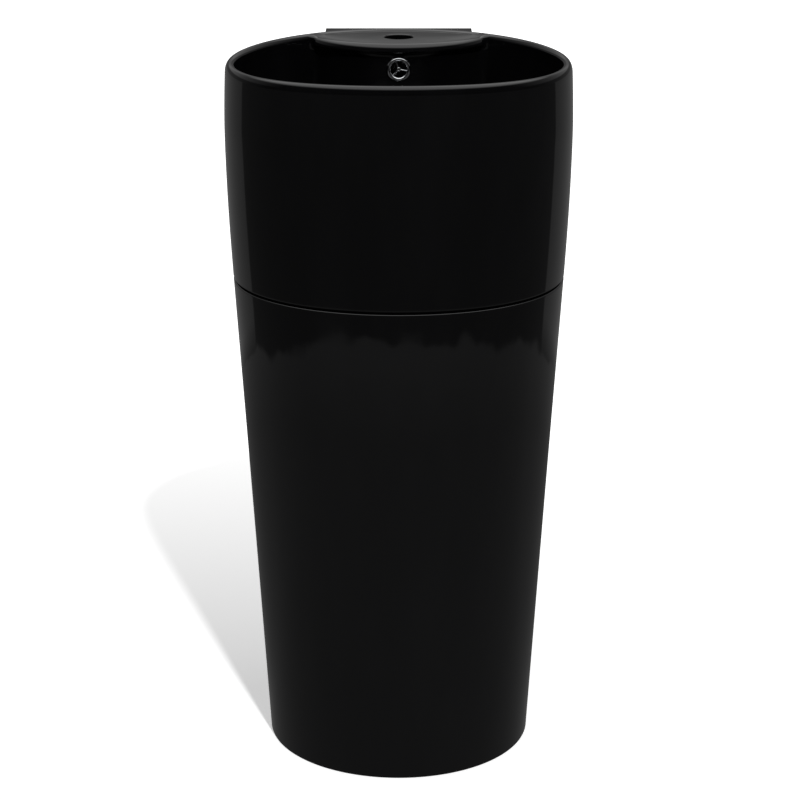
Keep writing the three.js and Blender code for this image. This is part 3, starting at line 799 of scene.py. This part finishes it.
def make_gasket():
    low, high = node_span("seat_gasket")[0].z, node_span("seat_gasket")[1].z
    outer = rolled(SIDE, PEDESTAL_TOP) - 5
    section = softened([(outer - 6, low), (outer, low), (outer, high), (outer - 6, high),
                        (outer - 6, low)], 0.6)
    return finished(loft("seat_gasket_piece", [plan_ring(r, z, 192) for r, z in section]), "rubber")


# ---- shapes that the fittings share --------------------------------------------------------------
def ribbed(outer):
    """Leaves rounded ribs for the hand around a nut."""
    details = bpy.context.scene.sink_details
    depth = details.rib_depth / MM

    def carve(radius, height, angle):
        valley = (0.5 + 0.5 * cos(details.ribs * angle)) ** 2.5
        return min(radius, outer - depth * valley)
    return carve


def threaded(outer, low, high):
    """Leaves a screw thread between two heights of a shank, running out at both ends."""
    details = bpy.context.scene.sink_details
    pitch, depth = details.thread_pitch / MM, details.thread_depth / MM

    def carve(radius, height, angle):
        if radius < outer - 0.05 or not low < height < high:
            return radius
        ends = smooth((height - low) / pitch) * smooth((high - height) / pitch)
        phase = (height / pitch + angle / tau) % 1
        groove = smooth(2.6 * abs(phase - 0.5) - 0.15)
        return radius - depth * ends * groove
    return carve


def ring_profile(inner, outer, low, high):
    return [(inner, low), (outer, low), (outer, high), (inner, high), (inner, low)]


def packing_ring(node, inner, slot="rubber", body="sink", fillet=0.5):
    """A flat ring that fills its node's own height and outer radius."""
    profile = ring_profile(inner, node_radius(node), *node_heights(node))
    return finished(turned(node + "_piece", profile, fillet=fillet), slot, body)


# ---- overflow ------------------------------------------------------------------------------------
OVERFLOW_BARS = (18, 138, 258)


def overflow_axis():
    return level(OVERFLOW_Z, OVERFLOW_FACE_Y, -1)


def make_overflow():
    ring_middle, ring_width, ring_rise, barrel = 12.2, 2.55, 2.8, 8
    bar_long, bar_half = 10.4, 0.9
    dome = [(ring_middle + ring_width * cos(pi * i / 14), 1.2 + ring_rise * sin(pi * i / 14))
            for i in range(15)]
    profile = [(ring_middle - ring_width, -barrel), (ring_middle, -barrel), (ring_middle, 1.2), *dome,
               (ring_middle - ring_width, -barrel)]
    ring = turned("overflow_ring_piece", profile, overflow_axis(), 120, fillet=0.2)
    for turn in OVERFLOW_BARS:
        bar = block("bar", (0, -2.3, -bar_half), (bar_long, -0.1, bar_half), bevel=0.85, segments=6)
        bar.rotation_euler.y = -radians(turn + 90)
        bar.location = Vector((0, OVERFLOW_FACE_Y, OVERFLOW_Z)) * MM
        bpy.ops.object.transform_apply(location=True, rotation=True, scale=True)
        join(ring, bar)
    hub = turned("hub", [(0, 0.05), (2.6, 0.05), (2.6, 1.8), (2.1, 2.5), (1.2, 2.85), (0, 2.95)],
                 overflow_axis(), 48, fillet=0.3)
    finished(join(ring, hub), "chrome")
    seal = turned("overflow_seal_piece", ring_profile(12.5, 14.1, 0.3, 0.9), overflow_axis(), fillet=0.2)
    finished(seal, "rubber")


# ---- waste ---------------------------------------------------------------------------------------
NUT_BORE = 21.1


def make_waste_body():
    low, high = node_heights("waste_body")
    flange, tail, bore = node_radius("waste_body"), 20.8, 17.5
    under = high - 3
    profile = [(bore, low), (tail, low), (tail, under), (flange, under), (flange, under + 1.2),
               (flange - 1.3, high - 0.4), (flange - 3.4, high), (tail + 2, high - 0.6),
               (bore + 1, high - 3), (bore, high - 7), (bore, low)]
    thread = (low + 1.5, BOSS_Z - 2)
    body = turned("waste_body_piece", profile, around=120, fillet=0.6,
                  carve=threaded(tail, *thread), detail=(*thread, 0.3))
    slot_z, slot_half, slot_rise, through = BOSS_Z + 14, 6, 5, 30
    for wide, deep in ((through, slot_half), (slot_half, through)):
        cut(body, block("water_slot", (-wide, WASTE_Y - deep, slot_z - slot_rise),
                        (wide, WASTE_Y + deep, slot_z + slot_rise), bevel=1.5))
    bridge = BOSS_Z - 8
    hub = turned("hub", ring_profile(5.3, 9, bridge, bridge + 6), around=48, fillet=0.5)
    join(body, hub)
    for turn in range(4):
        arm = block("arm", (7, -2, bridge), (bore + 1, 2, bridge + 6), bevel=0.6, segments=3)
        arm.rotation_euler.z = turn * pi / 2
        arm.location.y = WASTE_Y * MM
        bpy.ops.object.transform_apply(location=True, rotation=True, scale=True)
        join(body, arm)
    return finished(body, "chrome")


def make_backnut():
    low, high = node_heights("backnut")
    outer = node_radius("backnut")
    profile = [(NUT_BORE + 1, low), (outer - 2, low), (outer, low + 1.6), (outer, high - 1.6),
               (outer - 2, high), (NUT_BORE + 1, high), (NUT_BORE, high - 1), (NUT_BORE, low + 1),
               (NUT_BORE + 1, low)]
    piece = turned("backnut_piece", profile, around=192, carve=ribbed(outer))
    return finished(piece, "brass")


# ---- plug ----------------------------------------------------------------------------------------
def make_plug_cap():
    low, high = node_heights("plug_cap")
    radius, edge, steps = node_radius("plug_cap"), low + 1.6, 26
    reaches = [radius * sin(pi / 2 * i / steps) for i in range(steps, -1, -1)]
    dome = [(r, edge + (high - edge) * (1 - (r / radius) ** 2.4) ** (1 / 2.2)) for r in reaches]
    profile = [(0, low + 0.6), (radius - 5, low + 0.6), (radius - 4, low), (radius - 1.4, low), *dome]
    return finished(turned("plug_cap_piece", profile, around=144, fillet=0.25), "chrome", "plug")


def make_plug_stem():
    low, high = node_heights("plug_stem")
    radius, groove = node_radius("plug_stem"), low + 7
    profile = [(0, low), (radius - 0.8, low), (radius, low + 1), (radius, groove),
               (radius - 0.7, groove + 0.5), (radius - 0.7, groove + 1.8), (radius, groove + 2.3),
               (radius, high), (0, high)]
    return finished(turned("plug_stem_piece", profile, around=48, fillet=0.2), "spring_steel", "plug")


def make_cartridge():
    low, high = node_heights("click_cartridge")
    radius, bore, foot, seat = node_radius("click_cartridge"), 4.6, 5, BOSS_Z - 1.7
    flutes, flute_depth = 24, 0.3
    profile = [(0, low), (foot, low), (foot, seat), (radius, seat), (radius, high - 1.5),
               (radius - 1.5, high), (bore, high), (bore, seat + 2), (0, seat + 2)]

    def fluted(reach, height, angle):
        if reach <= radius - 0.1:
            return reach
        grip = smooth((height - seat - 3) / 1.5) * smooth((high - 5 - height) / 1.5)
        return reach - flute_depth * grip * (0.5 + 0.5 * cos(flutes * angle))
    piece = turned("click_cartridge_piece", profile, around=144, carve=fluted,
                   detail=(seat + 2, high - 3, 0.6))
    return finished(piece, "brass")


def make_spring():
    low, high = node_heights("cartridge_spring")
    wire, coils, steps, sides = 0.5, 3, 48, 12
    radius = node_radius("cartridge_spring") - wire
    middles, rings = [], []
    for i in range(coils * steps + 1):
        turn, share = tau * i / steps, i / coils / steps
        lift = mix(low + wire, high - wire, smooth(share) * 0.35 + share * 0.65)
        outward = Vector((sin(turn), -cos(turn), 0))
        middles.append(Vector((0, WASTE_Y, lift)) + outward * radius)
        rings.append([middles[-1] + (outward * cos(tau * k / sides)
                                     + Vector((0, 0, sin(tau * k / sides)))) * wire for k in range(sides)])
    rings = [[middles[0]] * sides, *rings, [middles[-1]] * sides]
    piece = finished(loft("cartridge_spring_piece", rings), "spring_steel")
    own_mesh(piece)


# ---- trap ----------------------------------------------------------------------------------------
TUBE_OUTER, TUBE_BORE = 16, 14.2
TUBE_FIT = TUBE_OUTER + 0.3
NECK, NECK_FIT = 21, 21.3
BOTTLE = 31


def nut(node, profile, outer, axis=None):
    """A ribbed nut of a bored profile."""
    piece = turned(node + "_piece", profile, axis, 192, fillet=0.45, carve=ribbed(outer))
    return finished(piece, "chrome")


def neck_nut(node, low, high, crown, axis=None):
    """The nut that draws a tube into one of the bottle's necks, closed by a crown around the tube."""
    outer = 27
    profile = [(NECK_FIT, low), (25, low), (outer, low + 2), (outer, high - 4), (23.5, high),
               (TUBE_FIT, high), (TUBE_FIT, high - crown), (NECK_FIT, high - crown), (NECK_FIT, low)]
    return nut(node, profile, outer, axis)


def make_trap_nuts():
    low, high = node_heights("trap_inlet_nut")
    outer = 28
    nut("trap_inlet_nut", [(TUBE_FIT, low), (24.5, low), (outer, low + 3), (outer, high - 4),
                           (25.5, high), (NUT_BORE, high), (NUT_BORE, low + 4), (TUBE_FIT, low + 4),
                           (TUBE_FIT, low)], outer)
    neck_nut("trap_body_nut", *node_heights("trap_body_nut"), 5)


def make_trap_tube():
    low, high = node_heights("trap_inlet_tube")
    collar, lip = 4, 20.4
    profile = [(TUBE_BORE, low), (TUBE_OUTER, low), (TUBE_OUTER, high - collar), (lip, high - collar),
               (lip, high), (TUBE_BORE, high), (TUBE_BORE, low)]
    return finished(turned("trap_inlet_tube_piece", profile, fillet=0.3), "chrome")


def outlet_axis():
    return level(node_span("outlet_pipe")[0].z + TUBE_OUTER)


def make_trap_body():
    low, high = node_heights("trap_body")
    thread, bore, wall = 28, TUBE_OUTER + 0.6, 2.4
    rest, shoulder = low + 18, high - 15
    outside = turned("trap_body_piece", [
        (0, low), (thread, low), (thread, rest), (BOTTLE, rest), (BOTTLE, shoulder - 12),
        (BOTTLE - 0.8, shoulder - 8.5), (BOTTLE - 3, shoulder - 4.6), (NECK + 3, shoulder - 0.9),
        (NECK, shoulder + 0.6), (NECK, high), (0, high)], around=144, fillet=1.2)
    axis, end, ridge = outlet_axis(), node_reach("trap_body")[1], WASTE_Y + 28
    join(outside, rod("stub", NECK, WASTE_Y + 10, end, axis))
    collar = [(NECK - 1, ridge), (NECK + 2.4, ridge), (NECK + 1.2, ridge + 3), (NECK - 1, ridge + 3.4),
              (NECK - 1, ridge)]
    join(outside, turned("collar", collar, axis, fillet=0.4))
    inside = [(0, low - 2), (thread - wall, low - 2), (thread - wall, shoulder - 12),
              (NECK - wall, shoulder - 4), (bore, shoulder), (bore, high + 1), (0, high + 1)]
    cut(outside, turned("inside", inside, fillet=0), rod("bore", bore, WASTE_Y + 10, end + 2, axis))
    return finished(outside, "chrome")


def make_trap_cup():
    low, high = node_heights("trap_cup")
    grip, bore, step = 34, 28.3, high - 20.2
    profile = [(0, low), (20, low), (26, low + 3), (BOTTLE - 0.5, low + 9), (BOTTLE, low + 20),
               (BOTTLE, step), (grip - 1.4, step), (grip, step + 2.4), (grip, high - 2), (grip - 1, high),
               (bore, high), (bore, low + 14), (25, low + 6), (19, low + 3), (0, low + 3)]
    piece = turned("trap_cup_piece", profile, around=192, fillet=1, carve=ribbed(grip))
    return finished(piece, "chrome")


def make_outlet():
    axis = outlet_axis()
    neck_nut("outlet_nut", *node_reach("outlet_nut"), 6, axis)
    seal = ring_profile(TUBE_FIT, NECK, *node_reach("outlet_seal"))
    finished(turned("outlet_seal_piece", seal, axis, fillet=0.7), "rubber")
    pipe = ring_profile(TUBE_BORE, TUBE_OUTER, *node_reach("outlet_pipe"))
    finished(turned("outlet_pipe_piece", pipe, axis, fillet=0.3), "chrome")
    front, wall = node_reach("wall_rosette")
    radius = node_radius("wall_rosette")
    ogee = [(TUBE_FIT, front), (TUBE_FIT + 2.2, front), (TUBE_FIT + 3.4, front + 3.5),
            (TUBE_FIT + 6, front + 6.6), (TUBE_FIT + 10.5, front + 8.6), (radius - 4.5, front + 9.6),
            (radius - 1, front + 10.6), (radius, wall), (TUBE_FIT, wall), (TUBE_FIT, front)]
    finished(turned("wall_rosette_piece", ogee, axis, 144, fillet=1.2), "chrome")


# ---- stage ---------------------------------------------------------------------------------------
NEAR_FLOOR_END = (1.565, 1.625)     # metres from the sink between which the near floor ends
REAR_FLOOR_EDGE = (0.37, 0.42)      # how far behind the sink a direction points where the rear floor starts
# Painted light: the seen floor's own glow rises between these depths behind the sink, so that the cast shadow
# fades with distance; the lift is how much it rises.
PAINTED_LIGHT_FADE = (0.1, 1.1)             # metres behind the sink between which the seen shade fades
PAINTED_LIGHT_LIFT = 0.39


def floor_material(stage):
    """White where it is looked at, with painted light: its own glow rises with distance behind the sink, so
    the cast shadow fades farther back. What the glaze mirrors of it is painted light too, a glowing grey
    studio floor: it ends on a wavy line in front, and goes on farther behind."""
    material = bpy.data.materials.new("studio_floor")
    material.use_nodes = True
    tree = material.node_tree
    tree.nodes.clear()
    place = add_node(tree, "ShaderNodeNewGeometry").outputs["Position"]
    flat = add_node(tree, "ShaderNodeVectorMath", {0: place, 1: (1, 1, 0)}, operation="MULTIPLY")
    away = add_node(tree, "ShaderNodeVectorMath", {0: flat.outputs[0]}, operation="LENGTH").outputs["Value"]
    way = add_node(tree, "ShaderNodeVectorMath", {0: flat.outputs[0]}, operation="NORMALIZE").outputs[0]
    behind = add_node(tree, "ShaderNodeSeparateXYZ", {"Vector": way}).outputs["Y"]
    # Painted reflection: the floor that the glaze mirrors glows on its own. The near floor brightens a little
    # outwards, dims towards the back and ends on a wavy line, which comes closer at the sides.
    lift = remap(tree, away, 1.15, 1.5, stage.floor_near, stage.floor_near * 1.4)
    close = math_node(tree, "MULTIPLY", lift, remap(tree, behind, 0.2, 0.9, 1, 0.6))
    wide = math_node(tree, "MULTIPLY", remap(tree, behind, -0.95, -0.45, 1, 1.12),
                     remap(tree, behind, 0.1, 0.6, 1, 0.96))
    waves = remap(tree, noise(tree, place, 1.7), 0.3, 0.7, 0.972, 1.028)
    reach = math_node(tree, "MULTIPLY", math_node(tree, "MULTIPLY", away, wide), waves)
    near = math_node(tree, "MULTIPLY", close, remap(tree, reach, *NEAR_FLOOR_END, 1, 0))
    # Painted reflection: behind the sink the mirrored floor glows bright again, and gives the flanks their
    # light edge.
    rear = math_node(tree, "MULTIPLY", remap(tree, away, 1.3, 1.6, 0, stage.floor_near * 1.33),
                     remap(tree, behind, *REAR_FLOOR_EDGE, 0, 1))
    shade = math_node(tree, "MAXIMUM", math_node(tree, "MAXIMUM", near, rear), stage.floor_far)
    # Painted light: an emission that only mirrored and bounced rays meet, standing in for a lit grey floor.
    mirrored_light = add_node(tree, "ShaderNodeEmission", {"Strength": shade})
    # Painted light: the floor's own glow, which rises with depth behind the sink and fades the cast shadow
    # there.
    depth = add_node(tree, "ShaderNodeSeparateXYZ", {"Vector": place}).outputs["Y"]
    seen = add_node(tree, "ShaderNodeEmission", {
        "Strength": remap(tree, depth, *PAINTED_LIGHT_FADE, stage.floor_white, stage.floor_white + PAINTED_LIGHT_LIFT)})
    matt = add_node(tree, "ShaderNodeBsdfDiffuse", {"Color": (0.9, 0.9, 0.9, 1)})
    lit = add_node(tree, "ShaderNodeAddShader", {0: seen.outputs[0], 1: matt.outputs[0]})
    camera = add_node(tree, "ShaderNodeLightPath").outputs["Is Camera Ray"]
    both = add_node(tree, "ShaderNodeMixShader", {0: camera, 1: mirrored_light.outputs[0], 2: lit.outputs[0]})
    add_node(tree, "ShaderNodeOutputMaterial", {"Surface": both.outputs[0]})
    return material


def make_world(stage):
    """White behind the sink. Around it a dim room with a broad soft light overhead."""
    world = bpy.data.worlds.new("studio")
    bpy.context.scene.world = world
    world.use_nodes = True
    tree = world.node_tree
    tree.nodes.clear()
    way = add_node(tree, "ShaderNodeTexCoord").outputs["Generated"]
    parts = add_node(tree, "ShaderNodeSeparateXYZ", {"Vector": way}).outputs
    wall = remap(tree, parts["Z"], 0.15, 0.22, 0.4, 1.4)
    behind = math_node(tree, "MULTIPLY", wall, stage.room_back)
    share = remap(tree, parts["Y"], -0.5, 0.65, 0, 1)
    far = math_node(tree, "MULTIPLY", behind, share)
    overhead = remap(tree, parts["Z"], 0.56, 0.8, 0, stage.room_top)
    shade = math_node(tree, "ADD", math_node(tree, "MAXIMUM", far, stage.room_front), overhead)
    light_path = add_node(tree, "ShaderNodeLightPath").outputs
    soft = add_node(tree, "ShaderNodeMix", {0: light_path["Is Diffuse Ray"], 2: shade, 3: stage.room_soft})
    room = add_node(tree, "ShaderNodeBackground", {"Strength": soft.outputs[0]})
    seen = add_node(tree, "ShaderNodeBackground", {"Strength": 1.1})
    both = add_node(tree, "ShaderNodeMixShader", {
        0: light_path["Is Camera Ray"], 1: room.outputs[0], 2: seen.outputs[0]})
    add_node(tree, "ShaderNodeOutputWorld", {"Surface": both.outputs[0]})


def make_stage():
    stage = bpy.context.scene.sink_stage
    deselect()
    bpy.ops.mesh.primitive_plane_add(size=60)
    floor = bpy.context.object
    floor.name = "floor"
    floor.data.materials.append(floor_material(stage))
    make_world(stage)
    bpy.ops.object.light_add(type="SUN", location=stage.key_place)
    key = bpy.context.object
    key.rotation_euler = (-key.location).to_track_quat("-Z", "Y").to_euler()
    key.data.angle = stage.key_softness
    key.data.energy = stage.key_power
    key.visible_glossy = False
    bpy.ops.object.camera_add(location=(0, -stage.camera_away, stage.camera_height),
                              rotation=(pi / 2 - stage.camera_pitch, 0, 0))
    camera = bpy.context.object
    camera.data.lens = stage.lens
    camera.data.sensor_width = 36
    camera.data.shift_x = stage.shift
    bpy.context.scene.camera = camera
    bpy.context.scene.view_settings.view_transform = "Standard"


# ---- what a user would change --------------------------------------------------------------------
class SinkGlaze(bpy.types.PropertyGroup):
    colour: FloatVectorProperty(name="Colour", description="Colour of the glaze", subtype="COLOR",
                                default=(0.0014, 0.0014, 0.0016), min=0, max=1)
    roughness: FloatProperty(name="Roughness", description="How soft the glaze mirrors", default=0.03,
                             min=0, max=1)
    waviness: FloatProperty(name="Waviness", description="Strength of the slow waves in the glaze",
                            default=0.26, min=0, max=1)


class SinkDetails(bpy.types.PropertyGroup):
    ribs: IntProperty(name="Ribs", description="Ribs around each nut", default=16, min=4)
    rib_depth: FloatProperty(name="Rib depth", description="Depth of the valleys between the ribs",
                             default=0.0013, unit="LENGTH")
    thread_pitch: FloatProperty(name="Thread pitch", description="Rise of the waste's thread per turn",
                                default=0.0018, unit="LENGTH")
    thread_depth: FloatProperty(name="Thread depth", description="Depth of the waste's thread",
                                default=0.0009, unit="LENGTH")


class SinkStage(bpy.types.PropertyGroup):
    lens: FloatProperty(name="Lens", description="Focal length in millimetres", default=109.3)
    shift: FloatProperty(name="Shift", description="Sideways framing shift", default=0.0016)
    camera_away: FloatProperty(name="Camera distance", description="From the sink along the floor",
                               default=2.81, unit="LENGTH")
    camera_height: FloatProperty(name="Camera height", description="Above the floor", default=1.355,
                                 unit="LENGTH")
    camera_pitch: FloatProperty(name="Camera pitch", description="Looking down by", subtype="ANGLE",
                                default=radians(18.26))
    key_place: FloatVectorProperty(name="Key light", description="Where the key light shines from",
                                   subtype="XYZ", default=(0.8, -3.0, 3.1))
    key_softness: FloatProperty(name="Key softness", description="Width of the key light in the sky",
                                default=radians(2.5), subtype="ANGLE")
    key_power: FloatProperty(name="Key power", description="Power of the key light", default=2.15)
    floor_white: FloatProperty(name="Floor white", description="Own light of the seen floor", default=0.47)
    floor_near: FloatProperty(name="Floor near", description="Mirrored light of the floor nearby",
                              default=0.12)
    floor_far: FloatProperty(name="Floor far", description="Mirrored light of the floor beyond",
                             default=0.06)
    room_front: FloatProperty(name="Room front", description="Light of the room in front", default=0.028)
    room_back: FloatProperty(name="Room back", description="Light of the room behind", default=0.3)
    room_top: FloatProperty(name="Room top", description="Light overhead", default=2.2)
    room_soft: FloatProperty(name="Room soft", description="Even light on dull surfaces", default=0.1)


class SINK_OT_stage(bpy.types.Operator):
    """Adds the floor, the room's light and the camera"""
    bl_idname = "sink.stage"
    bl_label = "Stage"

    def execute(self, context):
        make_stage()
        return {"FINISHED"}


class SINK_OT_basin(bpy.types.Operator):
    """Models the basin with its bowl, rolled rim, tap deck and back plate"""
    bl_idname = "sink.basin"
    bl_label = "Basin"

    def execute(self, context):
        make_basin()
        return {"FINISHED"}


class SINK_OT_pedestal(bpy.types.Operator):
    """Models the hollow column with its service opening, its lugs and the gasket on top"""
    bl_idname = "sink.pedestal"
    bl_label = "Pedestal"

    def execute(self, context):
        make_pedestal()
        make_gasket()
        return {"FINISHED"}


class SINK_OT_overflow(bpy.types.Operator):
    """Models the overflow's trim ring with its bars, and its seal"""
    bl_idname = "sink.overflow"
    bl_label = "Overflow"

    def execute(self, context):
        make_overflow()
        return {"FINISHED"}


class SINK_OT_waste(bpy.types.Operator):
    """Models the threaded waste, its packing rings and its nut"""
    bl_idname = "sink.waste"
    bl_label = "Waste"

    def execute(self, context):
        make_waste_body()
        packing_ring("flange_seal", DRAIN_RADIUS + 1)
        packing_ring("lower_seal", NUT_BORE, fillet=0.8)
        packing_ring("backnut_washer", NUT_BORE, "washer_plastic", fillet=0.35)
        make_backnut()
        return {"FINISHED"}


class SINK_OT_plug(bpy.types.Operator):
    """Models the click plug: cap, seal, stem, cartridge and spring"""
    bl_idname = "sink.plug"
    bl_label = "Click plug"

    def execute(self, context):
        make_plug_cap()
        packing_ring("plug_seal", 19, body="plug", fillet=0.6)
        make_plug_stem()
        make_cartridge()
        make_spring()
        return {"FINISHED"}


class SINK_OT_trap(bpy.types.Operator):
    """Models the bottle trap with its inlet tube, nuts and packing rings"""
    bl_idname = "sink.trap"
    bl_label = "Bottle trap"

    def execute(self, context):
        make_trap_nuts()
        packing_ring("trap_inlet_seal", TUBE_BORE + 1, fillet=0.8)
        make_trap_tube()
        make_trap_body()
        packing_ring("trap_body_seal", TUBE_FIT, fillet=0.7)
        make_trap_cup()
        packing_ring("trap_cup_seal", 28.4, fillet=0.4)
        return {"FINISHED"}


class SINK_OT_outlet(bpy.types.Operator):
    """Models the outlet's nut, seal, pipe and wall rosette"""
    bl_idname = "sink.outlet"
    bl_label = "Outlet"

    def execute(self, context):
        make_outlet()
        return {"FINISHED"}


OPERATORS = (SINK_OT_stage, SINK_OT_basin, SINK_OT_pedestal, SINK_OT_overflow, SINK_OT_waste,
             SINK_OT_plug, SINK_OT_trap, SINK_OT_outlet)
SETTINGS = {"sink_glaze": SinkGlaze, "sink_details": SinkDetails, "sink_stage": SinkStage}


class SINK_PT_panel(bpy.types.Panel):
    bl_label = "Pedestal sink"
    bl_idname = "SINK_PT_panel"
    bl_space_type = "VIEW_3D"
    bl_region_type = "UI"
    bl_category = "Sink"

    def draw(self, context):
        for name, group in SETTINGS.items():
            box = self.layout.box()
            for label in group.__annotations__:
                box.prop(getattr(context.scene, name), label)
        for operator in OPERATORS:
            self.layout.operator(operator.bl_idname)


def register():
    for group in (*SETTINGS.values(), *OPERATORS, SINK_PT_panel):
        bpy.utils.register_class(group)
    for name, group in SETTINGS.items():
        setattr(bpy.types.Scene, name, PointerProperty(type=group))


def unregister():
    for name in SETTINGS:
        delattr(bpy.types.Scene, name)
    for group in reversed((*SETTINGS.values(), *OPERATORS, SINK_PT_panel)):
        bpy.utils.unregister_class(group)


def main():
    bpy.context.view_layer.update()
    register()
    bpy.ops.sink.stage()
    bpy.ops.sink.basin()
    bpy.ops.sink.pedestal()
    bpy.ops.sink.overflow()
    bpy.ops.sink.waste()
    bpy.ops.sink.plug()
    bpy.ops.sink.trap()
    bpy.ops.sink.outlet()


if __name__ == "__main__":
    main()
